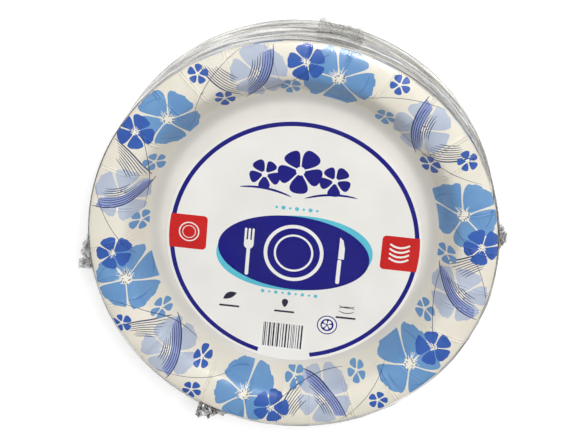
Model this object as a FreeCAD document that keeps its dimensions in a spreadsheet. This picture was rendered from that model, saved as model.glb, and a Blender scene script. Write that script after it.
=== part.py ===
"""A shrink-wrapped pack of forty pressed paper plates, lying with the dishes up.

The plates nest in one another, so the stack rises by the same small step from plate to plate.
A loose round label card lies in the uppermost dish, a little off centre. One clear film is shrunk
round the whole stack: taut over the uppermost rim and under the lowest plate, gathered into level
folds round the side, and bunched into a pleated ear at each corner of the bag that it was cut from.

The origin is the middle of the film's flat underside. +Z is up, +Y points to the label's upper edge.
"""

import FreeCAD, Part
import os
from math import asin, atan2, cos, degrees, hypot, radians, sin

import Sketcher
from FreeCAD import Placement, Rotation, Vector

# Driving dimensions in millimetres, degrees and plain counts
DIMENSIONS = {
    "plate_count": 40,
    "plate_diameter": 177.8,
    "plate_depth": 15.8,
    "floor_diameter": 115.0,
    "floor_bend": 12.0,
    "wall_angle": 55.0,
    "shoulder_bend": 6.5,
    "flange_slope": 16.0,
    "lip_bend": 1.5,
    "lip_relief": 5.0,
    "board_thickness": 0.5,
    "nest_clearance": 0.09,
    "label_diameter": 114.0,
    "label_thickness": 0.25,
    "label_slide": 5.0,
    "film_thickness": 0.1,
    "film_clearance": 0.1,
    "film_corner": 2.0,
    "fold_count": 5,
    "fold_depth": 0.4,
    "seam_drop": 19.0,
    "ear_layer": 0.4,
    "ear_gather": 2.4,
    "ear_pleats": 4,
    "ear_tip_share": 0.35,
    "left_ear_angle": 187.0,
    "left_ear_reach": 11.5,
    "left_ear_width": 18.0,
    "lower_ear_angle": 245.0,
    "lower_ear_reach": 19.0,
    "lower_ear_width": 18.0,
    "right_ear_angle": 358.0,
    "right_ear_reach": 6.5,
    "right_ear_width": 11.0,
    "upper_ear_angle": 77.5,
    "upper_ear_reach": 8.5,
    "upper_ear_width": 20.0,
}
EARS = ("left", "lower", "right", "upper")

START, END, CENTRE = 1, 2, 3
SKETCH_ORIGIN = (-1, 1)


def make_sheet(doc):
    """The spreadsheet that every size below is read from."""
    sheet = doc.addObject("Spreadsheet::Sheet", "Sizes")
    for row, (name, value) in enumerate(DIMENSIONS.items(), start=1):
        sheet.set(f"A{row}", name)
        sheet.set(f"B{row}", str(value))
        sheet.setAlias(f"B{row}", name)
    doc.recompute()
    return sheet


def read_sizes(sheet):
    """The sheet's values by name, for first guesses and for the film."""
    return {name: float(sheet.get(name)) for name in DIMENSIONS}


def normal(slope):
    """Unit normal, up and to the left, of a line that climbs outwards at slope degrees."""
    return Vector(-sin(radians(slope)), 0, cos(radians(slope)))


class BoardOutline:
    """The plate's underside in section, from its axis out to its lip.

    It is a chain of tangent stretches: floor, heel bend, wall, shoulder bend, flange and lip bend.
    The wall's length and the flange's radius are what is left to reach the diameter and the depth.
    """

    def __init__(self, size):
        self.thickness = size["board_thickness"]
        self.floor = size["floor_diameter"] / 2
        self.heel = size["floor_bend"]
        self.shoulder = size["shoulder_bend"]
        self.lip = size["lip_bend"]
        self.wall_slope = size["wall_angle"]
        self.flange_slope = size["flange_slope"]
        self.lip_slope = self.wall_slope - size["lip_relief"]
        sin_wall, cos_wall = sin(radians(self.wall_slope)), cos(radians(self.wall_slope))
        sin_flange, cos_flange = sin(radians(self.flange_slope)), cos(radians(self.flange_slope))
        sin_lip = sin(radians(self.lip_slope))
        run = (
            size["plate_diameter"] / 2
            - self.floor
            - self.heel * sin_wall
            - self.shoulder * (sin_wall - sin_flange)
            - self.lip * (sin_lip - sin_flange)
            - self.thickness * sin_lip
        )
        rise = (
            size["plate_depth"]
            - self.heel * (1 - cos_wall)
            - self.shoulder * (cos_flange - cos_wall)
            - self.thickness
        )
        crossed = cos_wall * (1 - cos_flange) - 2 * sin_wall * sin_flange
        self.wall_length = (run * (1 - cos_flange) - 2 * rise * sin_flange) / crossed
        self.flange = (rise * cos_wall - run * sin_wall) / crossed
        along_wall = Vector(cos_wall, 0, sin_wall)
        self.heel_centre = Vector(self.floor, 0, self.heel)
        self.wall_start = self.heel_centre - normal(self.wall_slope) * self.heel
        self.wall_end = self.wall_start + along_wall * self.wall_length
        self.shoulder_centre = self.wall_end - normal(self.wall_slope) * self.shoulder
        self.flange_centre = self.shoulder_centre + normal(self.flange_slope) * (self.shoulder - self.flange)
        self.lip_centre = self.flange_centre + normal(-self.flange_slope) * (self.flange - self.lip)
        self.lip_end = self.lip_centre + normal(-self.lip_slope) * self.lip

    def face(self, lift):
        """The stretches of the face that lies lift above the underside, as lines and arcs in order."""
        up_wall = normal(self.wall_slope) * lift
        return {
            "floor": Part.LineSegment(Vector(0, 0, lift), Vector(self.floor, 0, lift)),
            "heel": flat_arc(self.heel_centre, self.heel - lift, -90, self.wall_slope - 90),
            "wall": Part.LineSegment(self.wall_start + up_wall, self.wall_end + up_wall),
            "shoulder": flat_arc(
                self.shoulder_centre, self.shoulder + lift, 90 + self.flange_slope, 90 + self.wall_slope
            ),
            "flange": flat_arc(
                self.flange_centre, self.flange + lift, 90 - self.flange_slope, 90 + self.flange_slope
            ),
            "lip": flat_arc(self.lip_centre, self.lip + lift, 90 - self.lip_slope, 90 - self.flange_slope),
        }


def flat_arc(centre, radius, start, end):
    """An arc in the XZ plane, anticlockwise from start to end degrees, seen with Z up and X to the right."""
    middle = (start + end) / 2
    spokes = [Vector(cos(radians(angle)), 0, sin(radians(angle))) for angle in (start, middle, end)]
    return Part.Arc(*[centre + spoke * radius for spoke in spokes])


def in_sketch(curve):
    """The same line or arc, turned from the XZ plane into a sketch's own XY plane."""
    flat = curve.toShape()
    flat.rotate(Vector(0, 0, 0), Vector(1, 0, 0), -90)
    edge = flat.Edges[0]
    ends = [edge.valueAt(edge.FirstParameter), edge.valueAt(edge.LastParameter)]
    if isinstance(edge.Curve, Part.Line):
        return Part.LineSegment(*ends)
    middle = edge.valueAt((edge.FirstParameter + edge.LastParameter) / 2)
    centre, radius = edge.Curve.Center, edge.Curve.Radius
    first, last = (atan2(p.y - centre.y, p.x - centre.x) for p in ends)
    halfway = atan2(middle.y - centre.y, middle.x - centre.x)
    if not first < halfway < last:
        first, last = last, first
    return Part.ArcOfCircle(Part.Circle(centre, Vector(0, 0, 1), radius), first, last)


def origin_plane(body, role):
    """One of the body's own origin planes or axes."""
    return next(feature for feature in body.Origin.OriginFeatures if feature.Role == role)


def name_size(sketch, index, name, formula):
    """Names a dimension of the sketch and ties it to the sheet."""
    sketch.renameConstraint(index, name)
    sketch.setExpression(f"Constraints.{name}", formula)


def join_face(sketch, face):
    """Joins one face's stretches end to end, each tangent to the next. Bends over the rim run backwards."""
    joints = [
        (face["floor"], END, face["heel"], START),
        (face["heel"], END, face["wall"], START),
        (face["wall"], END, face["shoulder"], END),
        (face["shoulder"], START, face["flange"], END),
        (face["flange"], START, face["lip"], END),
    ]
    for joint in joints:
        sketch.addConstraint(Sketcher.Constraint("Tangent", *joint))
    sketch.addConstraint(Sketcher.Constraint("Horizontal", face["floor"]))


def board_sketch(body, size):
    """The plate's section: two parallel faces, joined on the axis and square across the lip."""
    outline = BoardOutline(size)
    sketch = body.newObject("Sketcher::SketchObject", "BoardSection")
    sketch.AttachmentSupport = [(origin_plane(body, "XZ_Plane"), "")]
    sketch.MapMode = "FlatFace"
    under, upper = (
        {name: sketch.addGeometry(in_sketch(curve), False) for name, curve in outline.face(lift).items()}
        for lift in (0, outline.thickness)
    )
    lip_ends = [outline.lip_end, outline.lip_end + normal(-outline.lip_slope) * outline.thickness]
    axis = sketch.addGeometry(Part.LineSegment(Vector(0, 0, 0), Vector(0, outline.thickness, 0)), False)
    rim_edge = sketch.addGeometry(Part.LineSegment(*[Vector(p.x, p.z, 0) for p in lip_ends]), False)
    crest_height = outline.flange_centre.z + outline.flange + outline.thickness
    crest = sketch.addGeometry(Part.Point(Vector(outline.flange_centre.x, crest_height, 0)), True)
    join_face(sketch, under)
    join_face(sketch, upper)
    for bend in ("heel", "shoulder", "flange", "lip"):
        sketch.addConstraint(Sketcher.Constraint("Coincident", under[bend], CENTRE, upper[bend], CENTRE))
    for rule in (
        ("Coincident", under["floor"], START, *SKETCH_ORIGIN),
        ("Coincident", axis, START, *SKETCH_ORIGIN),
        ("Vertical", axis),
        ("Coincident", upper["floor"], START, axis, END),
        ("Parallel", under["wall"], upper["wall"]),
        ("Coincident", rim_edge, START, under["lip"], START),
        ("Coincident", rim_edge, END, upper["lip"], START),
        ("PointOnObject", under["lip"], CENTRE, rim_edge),
        ("Horizontal", under["flange"], START, under["flange"], END),
        ("PointOnObject", crest, START, upper["flange"]),
        ("Vertical", crest, START, upper["flange"], CENTRE),
    ):
        sketch.addConstraint(Sketcher.Constraint(*rule))
    flange_span, lip_span = 2 * outline.flange_slope, outline.lip_slope - outline.flange_slope
    sizes = [
        ("floor_radius", ("DistanceX", under["floor"], START, under["floor"], END, outline.floor),
         "Sizes.floor_diameter / 2"),
        ("heel_radius", ("Radius", under["heel"], outline.heel), "Sizes.floor_bend"),
        ("shoulder_radius", ("Radius", under["shoulder"], outline.shoulder), "Sizes.shoulder_bend"),
        ("lip_radius", ("Radius", under["lip"], outline.lip), "Sizes.lip_bend"),
        ("wall_slope", ("Angle", under["wall"], radians(outline.wall_slope)), "Sizes.wall_angle * 1 deg"),
        ("flange_span", ("Angle", under["flange"], radians(flange_span)), "Sizes.flange_slope * 2 deg"),
        ("lip_span", ("Angle", under["lip"], radians(lip_span)),
         "(Sizes.wall_angle - Sizes.lip_relief - Sizes.flange_slope) * 1 deg"),
        ("thickness", ("DistanceY", axis, START, axis, END, outline.thickness), "Sizes.board_thickness"),
        ("rim_radius", ("DistanceX", *SKETCH_ORIGIN, upper["lip"], START, size["plate_diameter"] / 2),
         "Sizes.plate_diameter / 2"),
        ("crest_height", ("DistanceY", *SKETCH_ORIGIN, crest, START, size["plate_depth"]),
         "Sizes.plate_depth"),
    ]
    for name, rule, formula in sizes:
        name_size(sketch, sketch.addConstraint(Sketcher.Constraint(*rule)), name, formula)
    return sketch


NEST_STEP = "(Sizes.board_thickness + Sizes.nest_clearance) / cos(Sizes.wall_angle * 1 deg)"
STACK_BASE = "Sizes.film_thickness + Sizes.film_clearance"


def nest_step(size):
    """How far each plate stands above the one it nests in, as NEST_STEP says."""
    return (size["board_thickness"] + size["nest_clearance"]) / cos(radians(size["wall_angle"]))


def press_plate(doc, size):
    """The lowest plate: a disc of board pressed to a dish with a turned-down lip."""
    body = doc.addObject("PartDesign::Body", "Plate01")
    board = board_sketch(body, size)
    pressed = body.newObject("PartDesign::Revolution", "PressedBoard")
    pressed.Profile = board
    pressed.ReferenceAxis = (board, ["V_Axis"])
    pressed.Angle = 360
    return body


def stack_plate(doc, pressed, number):
    """The next plate of the stack, from the same tool as the lowest one."""
    body = doc.addObject("PartDesign::Body", f"Plate{number:02d}")
    copy = doc.addObject("PartDesign::FeatureBase", f"PressedLikeFirst{number:02d}")
    body.Group = [copy]
    copy.BaseFeature = pressed
    body.Tip = copy
    return body


def place_plate(body, number):
    """Puts a plate at its step of the stack, counted from the bottom."""
    body.Label = f"plate_{number:02d}"
    body.setExpression("Placement.Base.z", f"{STACK_BASE} + {number - 1} * {NEST_STEP}")


def make_label(doc, size):
    """The round label card, slid down the uppermost dish until its near edge climbs the heel bend."""
    body = doc.addObject("PartDesign::Body", "LabelCard")
    body.Label = "label_card"
    sketch = body.newObject("Sketcher::SketchObject", "CardOutline")
    sketch.AttachmentSupport = [(origin_plane(body, "XY_Plane"), "")]
    sketch.MapMode = "FlatFace"
    radius = size["label_diameter"] / 2
    circle = sketch.addGeometry(Part.Circle(Vector(0, 0, 0), Vector(0, 0, 1), radius), False)
    sketch.addConstraint(Sketcher.Constraint("Coincident", circle, CENTRE, *SKETCH_ORIGIN))
    edge = sketch.addConstraint(Sketcher.Constraint("Radius", circle, radius))
    name_size(sketch, edge, "card_radius", "Sizes.label_diameter / 2")
    card = body.newObject("PartDesign::Pad", "Card")
    card.Profile = sketch
    card.setExpression("Length", "Sizes.label_thickness")
    return body


def lay_label(body):
    """Lays the card in the uppermost dish: far edge on the floor, near edge up the bend or the wall."""
    slope = "(Sizes.wall_angle * 1 deg)"
    bend = "(Sizes.floor_bend - Sizes.board_thickness)"
    past_floor = "max(0; Sizes.label_diameter / 2 + Sizes.label_slide - Sizes.floor_diameter / 2)"
    on_bend = f"min({past_floor}; {bend} * sin{slope})"
    on_wall = f"max(0; {past_floor} - {bend} * sin{slope})"
    climb = f"({bend} - sqrt({bend}^2 - {on_bend}^2) + {on_wall} * tan{slope})"
    body.Placement = Placement(Vector(0, 0, 0), Rotation(Vector(-1, 0, 0), 1))
    body.setExpression("Placement.Rotation.Angle", f"asin({climb} / Sizes.label_diameter)")
    body.setExpression("Placement.Base.y", "-Sizes.label_slide")
    top_floor = f"{STACK_BASE} + (Sizes.plate_count - 1) * {NEST_STEP} + Sizes.board_thickness"
    body.setExpression("Placement.Base.z", f"{top_floor} + {climb} / 2 + Sizes.film_clearance / 2")


class FilmOutline:
    """The film's section: taut under the stack to the lowest lip, folded up the side, then over the rim."""

    def __init__(self, size):
        self.size = size
        self.board = BoardOutline(size)
        self.base = size["film_thickness"] + size["film_clearance"]
        self.top = self.base + (size["plate_count"] - 1) * nest_step(size)
        self.side = self.side_radius(size["film_clearance"])
        corner_x = self.side - size["film_corner"]
        self.low_corner = Vector(corner_x, 0, self.base + self.board.lip_end.z)
        self.high_corner = self.board.lip_centre + Vector(0, 0, self.top)

    def side_radius(self, gap):
        """Where the film runs upright, gap outside the lips' own round."""
        return self.board.lip_centre.x + self.board.lip + self.board.thickness + gap

    def edges(self, gap):
        """The film's face that stands gap off the board, from the axis below to the axis above."""
        board, size = self.board, self.size
        heel_centre = board.heel_centre + Vector(0, 0, self.base)
        heel_radius = board.heel + gap
        corner_radius = size["film_corner"] + gap - size["film_clearance"]
        across = self.low_corner - heel_centre
        climb = degrees(
            atan2(across.z, across.x) + asin((heel_radius - corner_radius) / hypot(across.x, across.z))
        )
        heel_end = heel_centre - normal(climb) * heel_radius
        corner_start = self.low_corner - normal(climb) * corner_radius
        side = self.side_radius(gap)
        fold_height = (self.high_corner.z - self.low_corner.z) / size["fold_count"]
        under = Vector(0, 0, self.base - gap)
        chain = [
            Part.LineSegment(under, under + Vector(board.floor, 0, 0)),
            flat_arc(heel_centre, heel_radius, -90, climb - 90),
            Part.LineSegment(heel_end, corner_start),
            flat_arc(self.low_corner, corner_radius, climb - 90, 0),
        ]
        for fold in range(int(size["fold_count"])):
            low = Vector(side, 0, self.low_corner.z + fold * fold_height)
            middle = low + Vector(size["fold_depth"], 0, fold_height / 2)
            chain.append(Part.Arc(low, middle, low + Vector(0, 0, fold_height)))
        flange_centre = board.flange_centre + Vector(0, 0, self.top)
        rim_radius = board.flange + board.thickness + gap
        crest = flange_centre + Vector(0, 0, rim_radius)
        chain += [
            flat_arc(self.high_corner, board.lip + board.thickness + gap, 0, 90 - board.flange_slope),
            flat_arc(flange_centre, rim_radius, 90 - board.flange_slope, 90),
            Part.LineSegment(crest, Vector(0, 0, crest.z)),
            Part.LineSegment(Vector(0, 0, crest.z), under),
        ]
        return [curve.toShape() for curve in chain]

    def solid(self, gap):
        """Everything inside the film's face that stands gap off the board."""
        wire = Part.Wire(Part.__sortEdges__(self.edges(gap)))
        return Part.Face(wire).revolve(Vector(0, 0, 0), Vector(0, 0, 1), 360)


def pleated_section(width, depth, layer, pleats, radius):
    """A closed zigzag strip across the X axis at radius, width wide along Y, with its pleats depth high."""
    corners = int(2 * pleats) + 1
    across = [width * (i / (corners - 1) - 0.5) for i in range(corners)]
    line = [Vector(radius, y, depth * (0.5 if i % 2 else -0.5)) for i, y in enumerate(across)]
    over = [point + Vector(0, 0, layer / 2) for point in line]
    below = [point - Vector(0, 0, layer / 2) for point in reversed(line)]
    return Part.makePolygon(over + below + over[:1])


def make_ear(size, film, name):
    """The bunched corner of the bag: pleats that run out from the film's side and draw together."""
    width, reach = size[f"{name}_ear_width"], size[f"{name}_ear_reach"]
    gather, layer, pleats = size["ear_gather"], size["ear_layer"], size["ear_pleats"]
    share = size["ear_tip_share"]
    inside = film.side_radius(0)
    root = (inside**2 - (width / 2) ** 2) ** 0.5
    tip = size["plate_diameter"] / 2 + reach
    sections = [
        pleated_section(width, gather, layer, pleats, root),
        pleated_section(width * share, gather * share, layer, pleats, tip),
    ]
    ear = Part.makeLoft(sections, True, True)
    ear.rotate(Vector(0, 0, 0), Vector(0, 0, 1), size[f"{name}_ear_angle"])
    ear.translate(Vector(0, 0, film.high_corner.z - size["seam_drop"]))
    return ear


def make_film(doc, size):
    """The shrink film: one skin between two faces, with its four ears rooted in it."""
    film = FilmOutline(size)
    inner_gap = size["film_clearance"]
    skin = film.solid(inner_gap + size["film_thickness"])
    for name in EARS:
        skin = skin.fuse(make_ear(size, film, name))
    feature = doc.addObject("Part::Feature", "ShrinkFilm")
    feature.Label = "shrink_film"
    feature.Shape = skin.cut(film.solid(inner_gap)).removeSplitter()
    return feature


def check(doc, pieces):
    """Stops on a failed feature, a loose sketch or a bad solid."""
    for item in doc.Objects:
        if "Invalid" in item.State or "Error" in item.State:
            raise RuntimeError(f"{item.Name} failed: {item.State}")
        if item.TypeId == "Sketcher::SketchObject" and not item.FullyConstrained:
            raise RuntimeError(f"{item.Name} is not fully constrained")
    for piece in pieces:
        shape = piece.Shape
        if shape.isNull() or not shape.isValid() or len(shape.Solids) != 1:
            raise RuntimeError(f"{piece.Label} is not one valid solid")


def main():
    doc = FreeCAD.newDocument("PaperPlatePack")
    size = read_sizes(make_sheet(doc))
    pressed = press_plate(doc, size)
    plates = [pressed] + [stack_plate(doc, pressed, n) for n in range(2, int(size["plate_count"]) + 1)]
    for number, plate in enumerate(plates, start=1):
        place_plate(plate, number)
    label = make_label(doc, size)
    lay_label(label)
    pieces = plates + [label, make_film(doc, size)]
    doc.recompute()
    check(doc, pieces)
    os.makedirs("parts", exist_ok=True)
    for piece in pieces:
        piece.Shape.exportStep(os.path.join("parts", f"{piece.Label}.step"))
        if piece.Label in ("plate_01", "plate_40", "label_card", "shrink_film"):
            box = piece.Shape.optimalBoundingBox()
            print(f"{piece.Label}: volume {piece.Shape.Volume:.1f} mm3, z {box.ZMin:.2f} to {box.ZMax:.2f}")


main()
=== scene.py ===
# %% [markdown]
# # A shrink-wrapped pack of paper plates
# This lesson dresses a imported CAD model. The pack holds forty pressed plates, a loose round label card
# and one clear film. The CAD model gives every piece its true size and place, so it is loaded first,
# and each piece below is worked out from it. Lengths in this file are millimetres until a mesh is made.

# %% Load the frame
import math
import random

import bpy
import numpy as np
from mathutils import Matrix, Vector, noise
from mathutils.geometry import delaunay_2d_cdt


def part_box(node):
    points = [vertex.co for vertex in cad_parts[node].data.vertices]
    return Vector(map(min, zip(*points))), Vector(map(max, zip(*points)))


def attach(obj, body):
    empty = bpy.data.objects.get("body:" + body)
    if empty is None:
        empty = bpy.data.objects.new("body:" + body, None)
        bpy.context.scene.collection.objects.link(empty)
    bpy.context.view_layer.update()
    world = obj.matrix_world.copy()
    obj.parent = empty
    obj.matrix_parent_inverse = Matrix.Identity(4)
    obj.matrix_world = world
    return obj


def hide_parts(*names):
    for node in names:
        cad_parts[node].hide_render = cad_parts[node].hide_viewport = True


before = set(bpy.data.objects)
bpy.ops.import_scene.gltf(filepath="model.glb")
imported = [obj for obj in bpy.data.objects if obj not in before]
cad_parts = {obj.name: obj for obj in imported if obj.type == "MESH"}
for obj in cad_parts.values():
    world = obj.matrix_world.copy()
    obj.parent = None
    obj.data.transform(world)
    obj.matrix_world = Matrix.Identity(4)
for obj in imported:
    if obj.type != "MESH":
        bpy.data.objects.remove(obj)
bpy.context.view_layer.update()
MM = 0.001
PLATES = sorted(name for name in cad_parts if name.startswith("plate_"))
TOP_PLATE, BOTTOM_PLATE = PLATES[-1], PLATES[0]

# %% [markdown]
# ## The section of a pressed plate
# A plate starts as a flat disc of board. A heated tool presses it to a floor, a wall and a rim, and turns
# the lip down so that the edge is stiff. The section is a chain of tangent lines and arcs. It could be
# drawn by hand as a curve, but the arcs are known, so they are worked out here and sampled. The surface
# is then a height above the table for each distance from the axis, which suits every later step.

# %% The plate's section
RIM_RADIUS = 88.9
DEPTH = 15.8
FLOOR_RADIUS = 57.5
BOARD = 0.5
HEEL_BEND, SHOULDER_BEND, LIP_BEND = 12.0, 6.5, 1.5
WALL_SLOPE, FLANGE_SLOPE, LIP_SLOPE = (math.radians(a) for a in (55.0, 16.0, 50.0))
ARC_STEPS = 40


def normal_2d(slope):
    """Unit normal, up and towards the axis, of a line that climbs outwards at slope."""
    return np.array([-math.sin(slope), math.cos(slope)])


def upper_section():
    """Points (radius, height) along the upper face, from the axis to the lip's edge."""
    sin_wall, cos_wall = math.sin(WALL_SLOPE), math.cos(WALL_SLOPE)
    sin_flange, cos_flange = math.sin(FLANGE_SLOPE), math.cos(FLANGE_SLOPE)
    sin_lip = math.sin(LIP_SLOPE)
    run = RIM_RADIUS - FLOOR_RADIUS - HEEL_BEND * sin_wall - SHOULDER_BEND * (sin_wall - sin_flange)
    run -= LIP_BEND * (sin_lip - sin_flange) + BOARD * sin_lip
    rise = DEPTH - HEEL_BEND * (1 - cos_wall) - SHOULDER_BEND * (cos_flange - cos_wall) - BOARD
    crossed = cos_wall * (1 - cos_flange) - 2 * sin_wall * sin_flange
    wall_length = (run * (1 - cos_flange) - 2 * rise * sin_flange) / crossed
    flange_bend = (rise * cos_wall - run * sin_wall) / crossed
    heel = np.array([FLOOR_RADIUS, HEEL_BEND])
    wall_end = heel - normal_2d(WALL_SLOPE) * HEEL_BEND + wall_length * np.array([cos_wall, sin_wall])
    shoulder = wall_end - normal_2d(WALL_SLOPE) * SHOULDER_BEND
    flange = shoulder + normal_2d(FLANGE_SLOPE) * (SHOULDER_BEND - flange_bend)
    lip = flange + normal_2d(-FLANGE_SLOPE) * (flange_bend - LIP_BEND)
    points = [np.array([0.0, BOARD])]
    for slope in np.linspace(0, WALL_SLOPE, ARC_STEPS):
        points.append(heel - normal_2d(slope) * (HEEL_BEND - BOARD))
    for centre, bend, first, last in (
        (shoulder, SHOULDER_BEND, WALL_SLOPE, FLANGE_SLOPE),
        (flange, flange_bend, FLANGE_SLOPE, -FLANGE_SLOPE),
        (lip, LIP_BEND, -FLANGE_SLOPE, -LIP_SLOPE),
    ):
        for slope in np.linspace(first, last, ARC_STEPS)[(0 if centre is shoulder else 1):]:
            points.append(centre + normal_2d(slope) * (bend + BOARD))
    return np.array(points)


SECTION = upper_section()
low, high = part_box(TOP_PLATE)
print("section ends at", SECTION[-1].round(2), "crest", SECTION[:, 1].max().round(2))
frame_depth, frame_radius = (high.z - low.z) / MM, high.x / MM
print("the frame's top plate is", round(frame_depth, 2), "deep and", round(frame_radius, 2), "in radius")

# %% [markdown]
# ## Crimps
# A flat disc has too much board for a rim that stands up, so the tool gathers the spare board in narrow
# radial crimps. On the real plate each one shows as two fine raised lines with a shallow valley between.
# Bump shading could fake them, but a real height is part of the mesh and catches the light at any angle, so
# each crimp here is a small height added to the section. No two crimps are quite alike, so a seeded generator
# shifts and weakens them, and the same seed gives the same plate on every run.

# %% Crimps as heights
CRIMPS = 30
CRIMP_HEIGHT = 0.42
CRIMP_HALF_GAP = 0.6
CRIMP_RIDGE, CRIMP_VALLEY = 0.25, 0.24
CRIMP_START, CRIMP_FULL = 67.5, 72.0
CRIMP_SHIFT, CRIMP_SLANT, SLANT_RUN = 0.22, 0.07, 20.0
CRIMP_FADES = (0.0, 0.1, 0.3, 0.5, 0.7)
VALLEY_SHARE = 1.05
CREST_ROOM = 0.12
SEED = 7
chance = random.Random(SEED)
noise.seed_set(SEED)


def crimp_set(jitter, full=1.0):
    """Centre angle, slant and strength of each crimp. With no jitter they stand at one even step."""
    crimps = []
    for k in range(CRIMPS):
        angle = 2 * math.pi * (k + jitter * chance.uniform(-CRIMP_SHIFT, CRIMP_SHIFT)) / CRIMPS
        slant = jitter * chance.uniform(-CRIMP_SLANT, CRIMP_SLANT)
        strength = full * (1 - jitter * chance.choice(CRIMP_FADES))
        crimps.append((angle, slant, strength))
    return crimps


def crimp_angle(crimp, radius):
    return crimp[0] + crimp[1] * (radius - CRIMP_FULL) / SLANT_RUN


def ease(value, start, end):
    share = np.clip((value - start) / (end - start), 0, 1)
    return share * share * (3 - 2 * share)


def plate_height(flat, crimps):
    """Height of the upper face, in millimetres, over flat points (x, y)."""
    radius = np.hypot(flat[:, 0], flat[:, 1])
    angle = np.arctan2(flat[:, 1], flat[:, 0])
    height = np.interp(radius, SECTION[:, 0], SECTION[:, 1])
    reach = ease(radius, CRIMP_START, CRIMP_FULL)
    for crimp in crimps:
        turn = (angle - crimp_angle(crimp, radius) + math.pi) % (2 * math.pi) - math.pi
        aside = np.abs(turn) * radius
        near = aside < 4
        ridge = np.exp(-(((aside[near] - CRIMP_HALF_GAP) / CRIMP_RIDGE) ** 2))
        valley = VALLEY_SHARE * np.exp(-((aside[near] / CRIMP_VALLEY) ** 2))
        height[near] += CRIMP_HEIGHT * crimp[2] * reach[near] * (ridge - valley)
    return np.minimum(height, DEPTH + CREST_ROOM)


TOP_CRIMPS = crimp_set(1.0)
EVEN_CRIMPS = crimp_set(0.0, 0.15)
print(len(TOP_CRIMPS), "crimps, first at", round(math.degrees(TOP_CRIMPS[0][0]), 1), "degrees")

# %% [markdown]
# ## The floral print
# The rim is printed with a common flower ornament: large and middle-sized five-petalled blossoms in three
# blues, crescents of fine navy lines and thin stems. The board is printed while flat, so the ornament is
# drawn flat too, as closed outlines in painter's order. An outline could be traced by hand, but a formula
# with seeded draws keeps it smooth and makes every flower a little different. Rings and discs come first.

# %% Rings and discs
def as_ring(points):
    """The outline as an array that runs anticlockwise."""
    ring = np.array(points, float)
    x, y = ring[:, 0], ring[:, 1]
    area = np.sum(x * np.roll(y, -1) - np.roll(x, -1) * y)
    return ring if area > 0 else ring[::-1]


def disc(centre, radius, steps=16, wobble=0.0, phase=0.0):
    ring = []
    for k in range(steps):
        angle = 2 * math.pi * k / steps
        reach = radius * (1 + wobble * math.sin(3 * angle + phase))
        ring.append((centre[0] + reach * math.cos(angle), centre[1] + reach * math.sin(angle)))
    return as_ring(ring)


def polar(angle, radius):
    return np.array([radius * math.cos(angle), radius * math.sin(angle)])


print("a disc is a ring of", len(disc((0, 0), 1.0)), "points")

# %% [markdown]
# ## Petals and blossoms
# Each printed flower has five broad petals, parted by narrow gaps that curve a little towards the tips.
# Petals could be five turned copies of one outline, but a printed flower looks drawn by hand. So the gaps
# are laid out first, each with its own angle and sway, and every petal then fills the room between two.

# %% Petals and blossoms
PETALS = 5
GAP_SHIFT = 0.05
PETAL_SIZES = (0.92, 1.05)
PETAL_ROOT, PETAL_SHOULDER = 0.2, 0.42


def petal(centre, size, left, right, gap, fullness, ripple, steps=28):
    """One broad petal between two gaps. Each gap is its angle at the heart and its sway at the tip."""
    root = PETAL_ROOT * size
    phase = 9 * left[0]
    outline = []
    for k in range(steps + 1):
        side = math.sin(math.pi * (k / steps - 0.5))
        reach = root + (size - root) * (1 - abs(side) ** fullness) ** PETAL_SHOULDER
        reach *= 1 + ripple * math.sin(10 * side + phase) + 0.6 * ripple * math.sin(23 * side - phase)
        clear, sway = gap / (2 * reach), (reach / size) ** 2
        first = left[0] + left[1] * sway + clear
        last = right[0] + right[1] * sway - clear
        outline.append(centre + polar(first + (last - first) * (side + 1) / 2, reach))
    return as_ring(outline)


def blossom(centre, size, turn, ink, gap, fullness=10.0, ripple=0.0, sway=0.1):
    """Five petals of one ink, each with its own size, parted by gently curved gaps."""
    gaps = []
    for k in range(PETALS):
        angle = turn + 2 * math.pi * (k + chance.uniform(-GAP_SHIFT, GAP_SHIFT)) / PETALS
        gaps.append((angle, chance.uniform(-sway, sway)))
    gaps.append((gaps[0][0] + 2 * math.pi, gaps[0][1]))
    shapes = []
    for left, right in zip(gaps, gaps[1:]):
        length = size * chance.uniform(*PETAL_SIZES)
        shapes.append((ink, petal(centre, length, left, right, gap, fullness, ripple)))
    return shapes


print("a blossom has", PETALS, "petals")

# %% [markdown]
# ## Pen lines and crescents
# Between the flowers run fine navy lines, single or laid side by side in a crescent. A curve object with a
# bevel would draw them as tubes, but these have to be cut into the plate's face as flat outlines. So each
# line is widened to both sides of its path, and thins out at its ends as a pen line does.

# %% Pen lines and crescents
LINE_WIDTH, ARC_WIDTH = 0.38, 0.62


def tangents(line):
    """Unit directions along a line of points."""
    along = np.gradient(line, axis=0)
    return along / np.linalg.norm(along, axis=1)[:, None]


def stroke(line, width, taper=0.3):
    """A pen line of a given width, drawn out thin at both ends."""
    line = np.array(line, float)
    along = tangents(line)
    across = np.stack([-along[:, 1], along[:, 0]], axis=1)
    share = np.linspace(0, 1, len(line))
    half = width / 2 * (taper + (1 - taper) * np.sin(math.pi * share) ** 0.5)[:, None]
    return as_ring(np.concatenate([line + across * half, (line - across * half)[::-1]]))


def bent_line(start, end, bow, steps=9):
    """A smooth line from start to end that bows aside by bow."""
    start, end = np.array(start, float), np.array(end, float)
    across = np.array([start[1] - end[1], end[0] - start[0]])
    across /= np.linalg.norm(across)
    share = np.linspace(0, 1, steps)[:, None]
    return start + (end - start) * share + across * bow * 4 * share * (1 - share)


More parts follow.
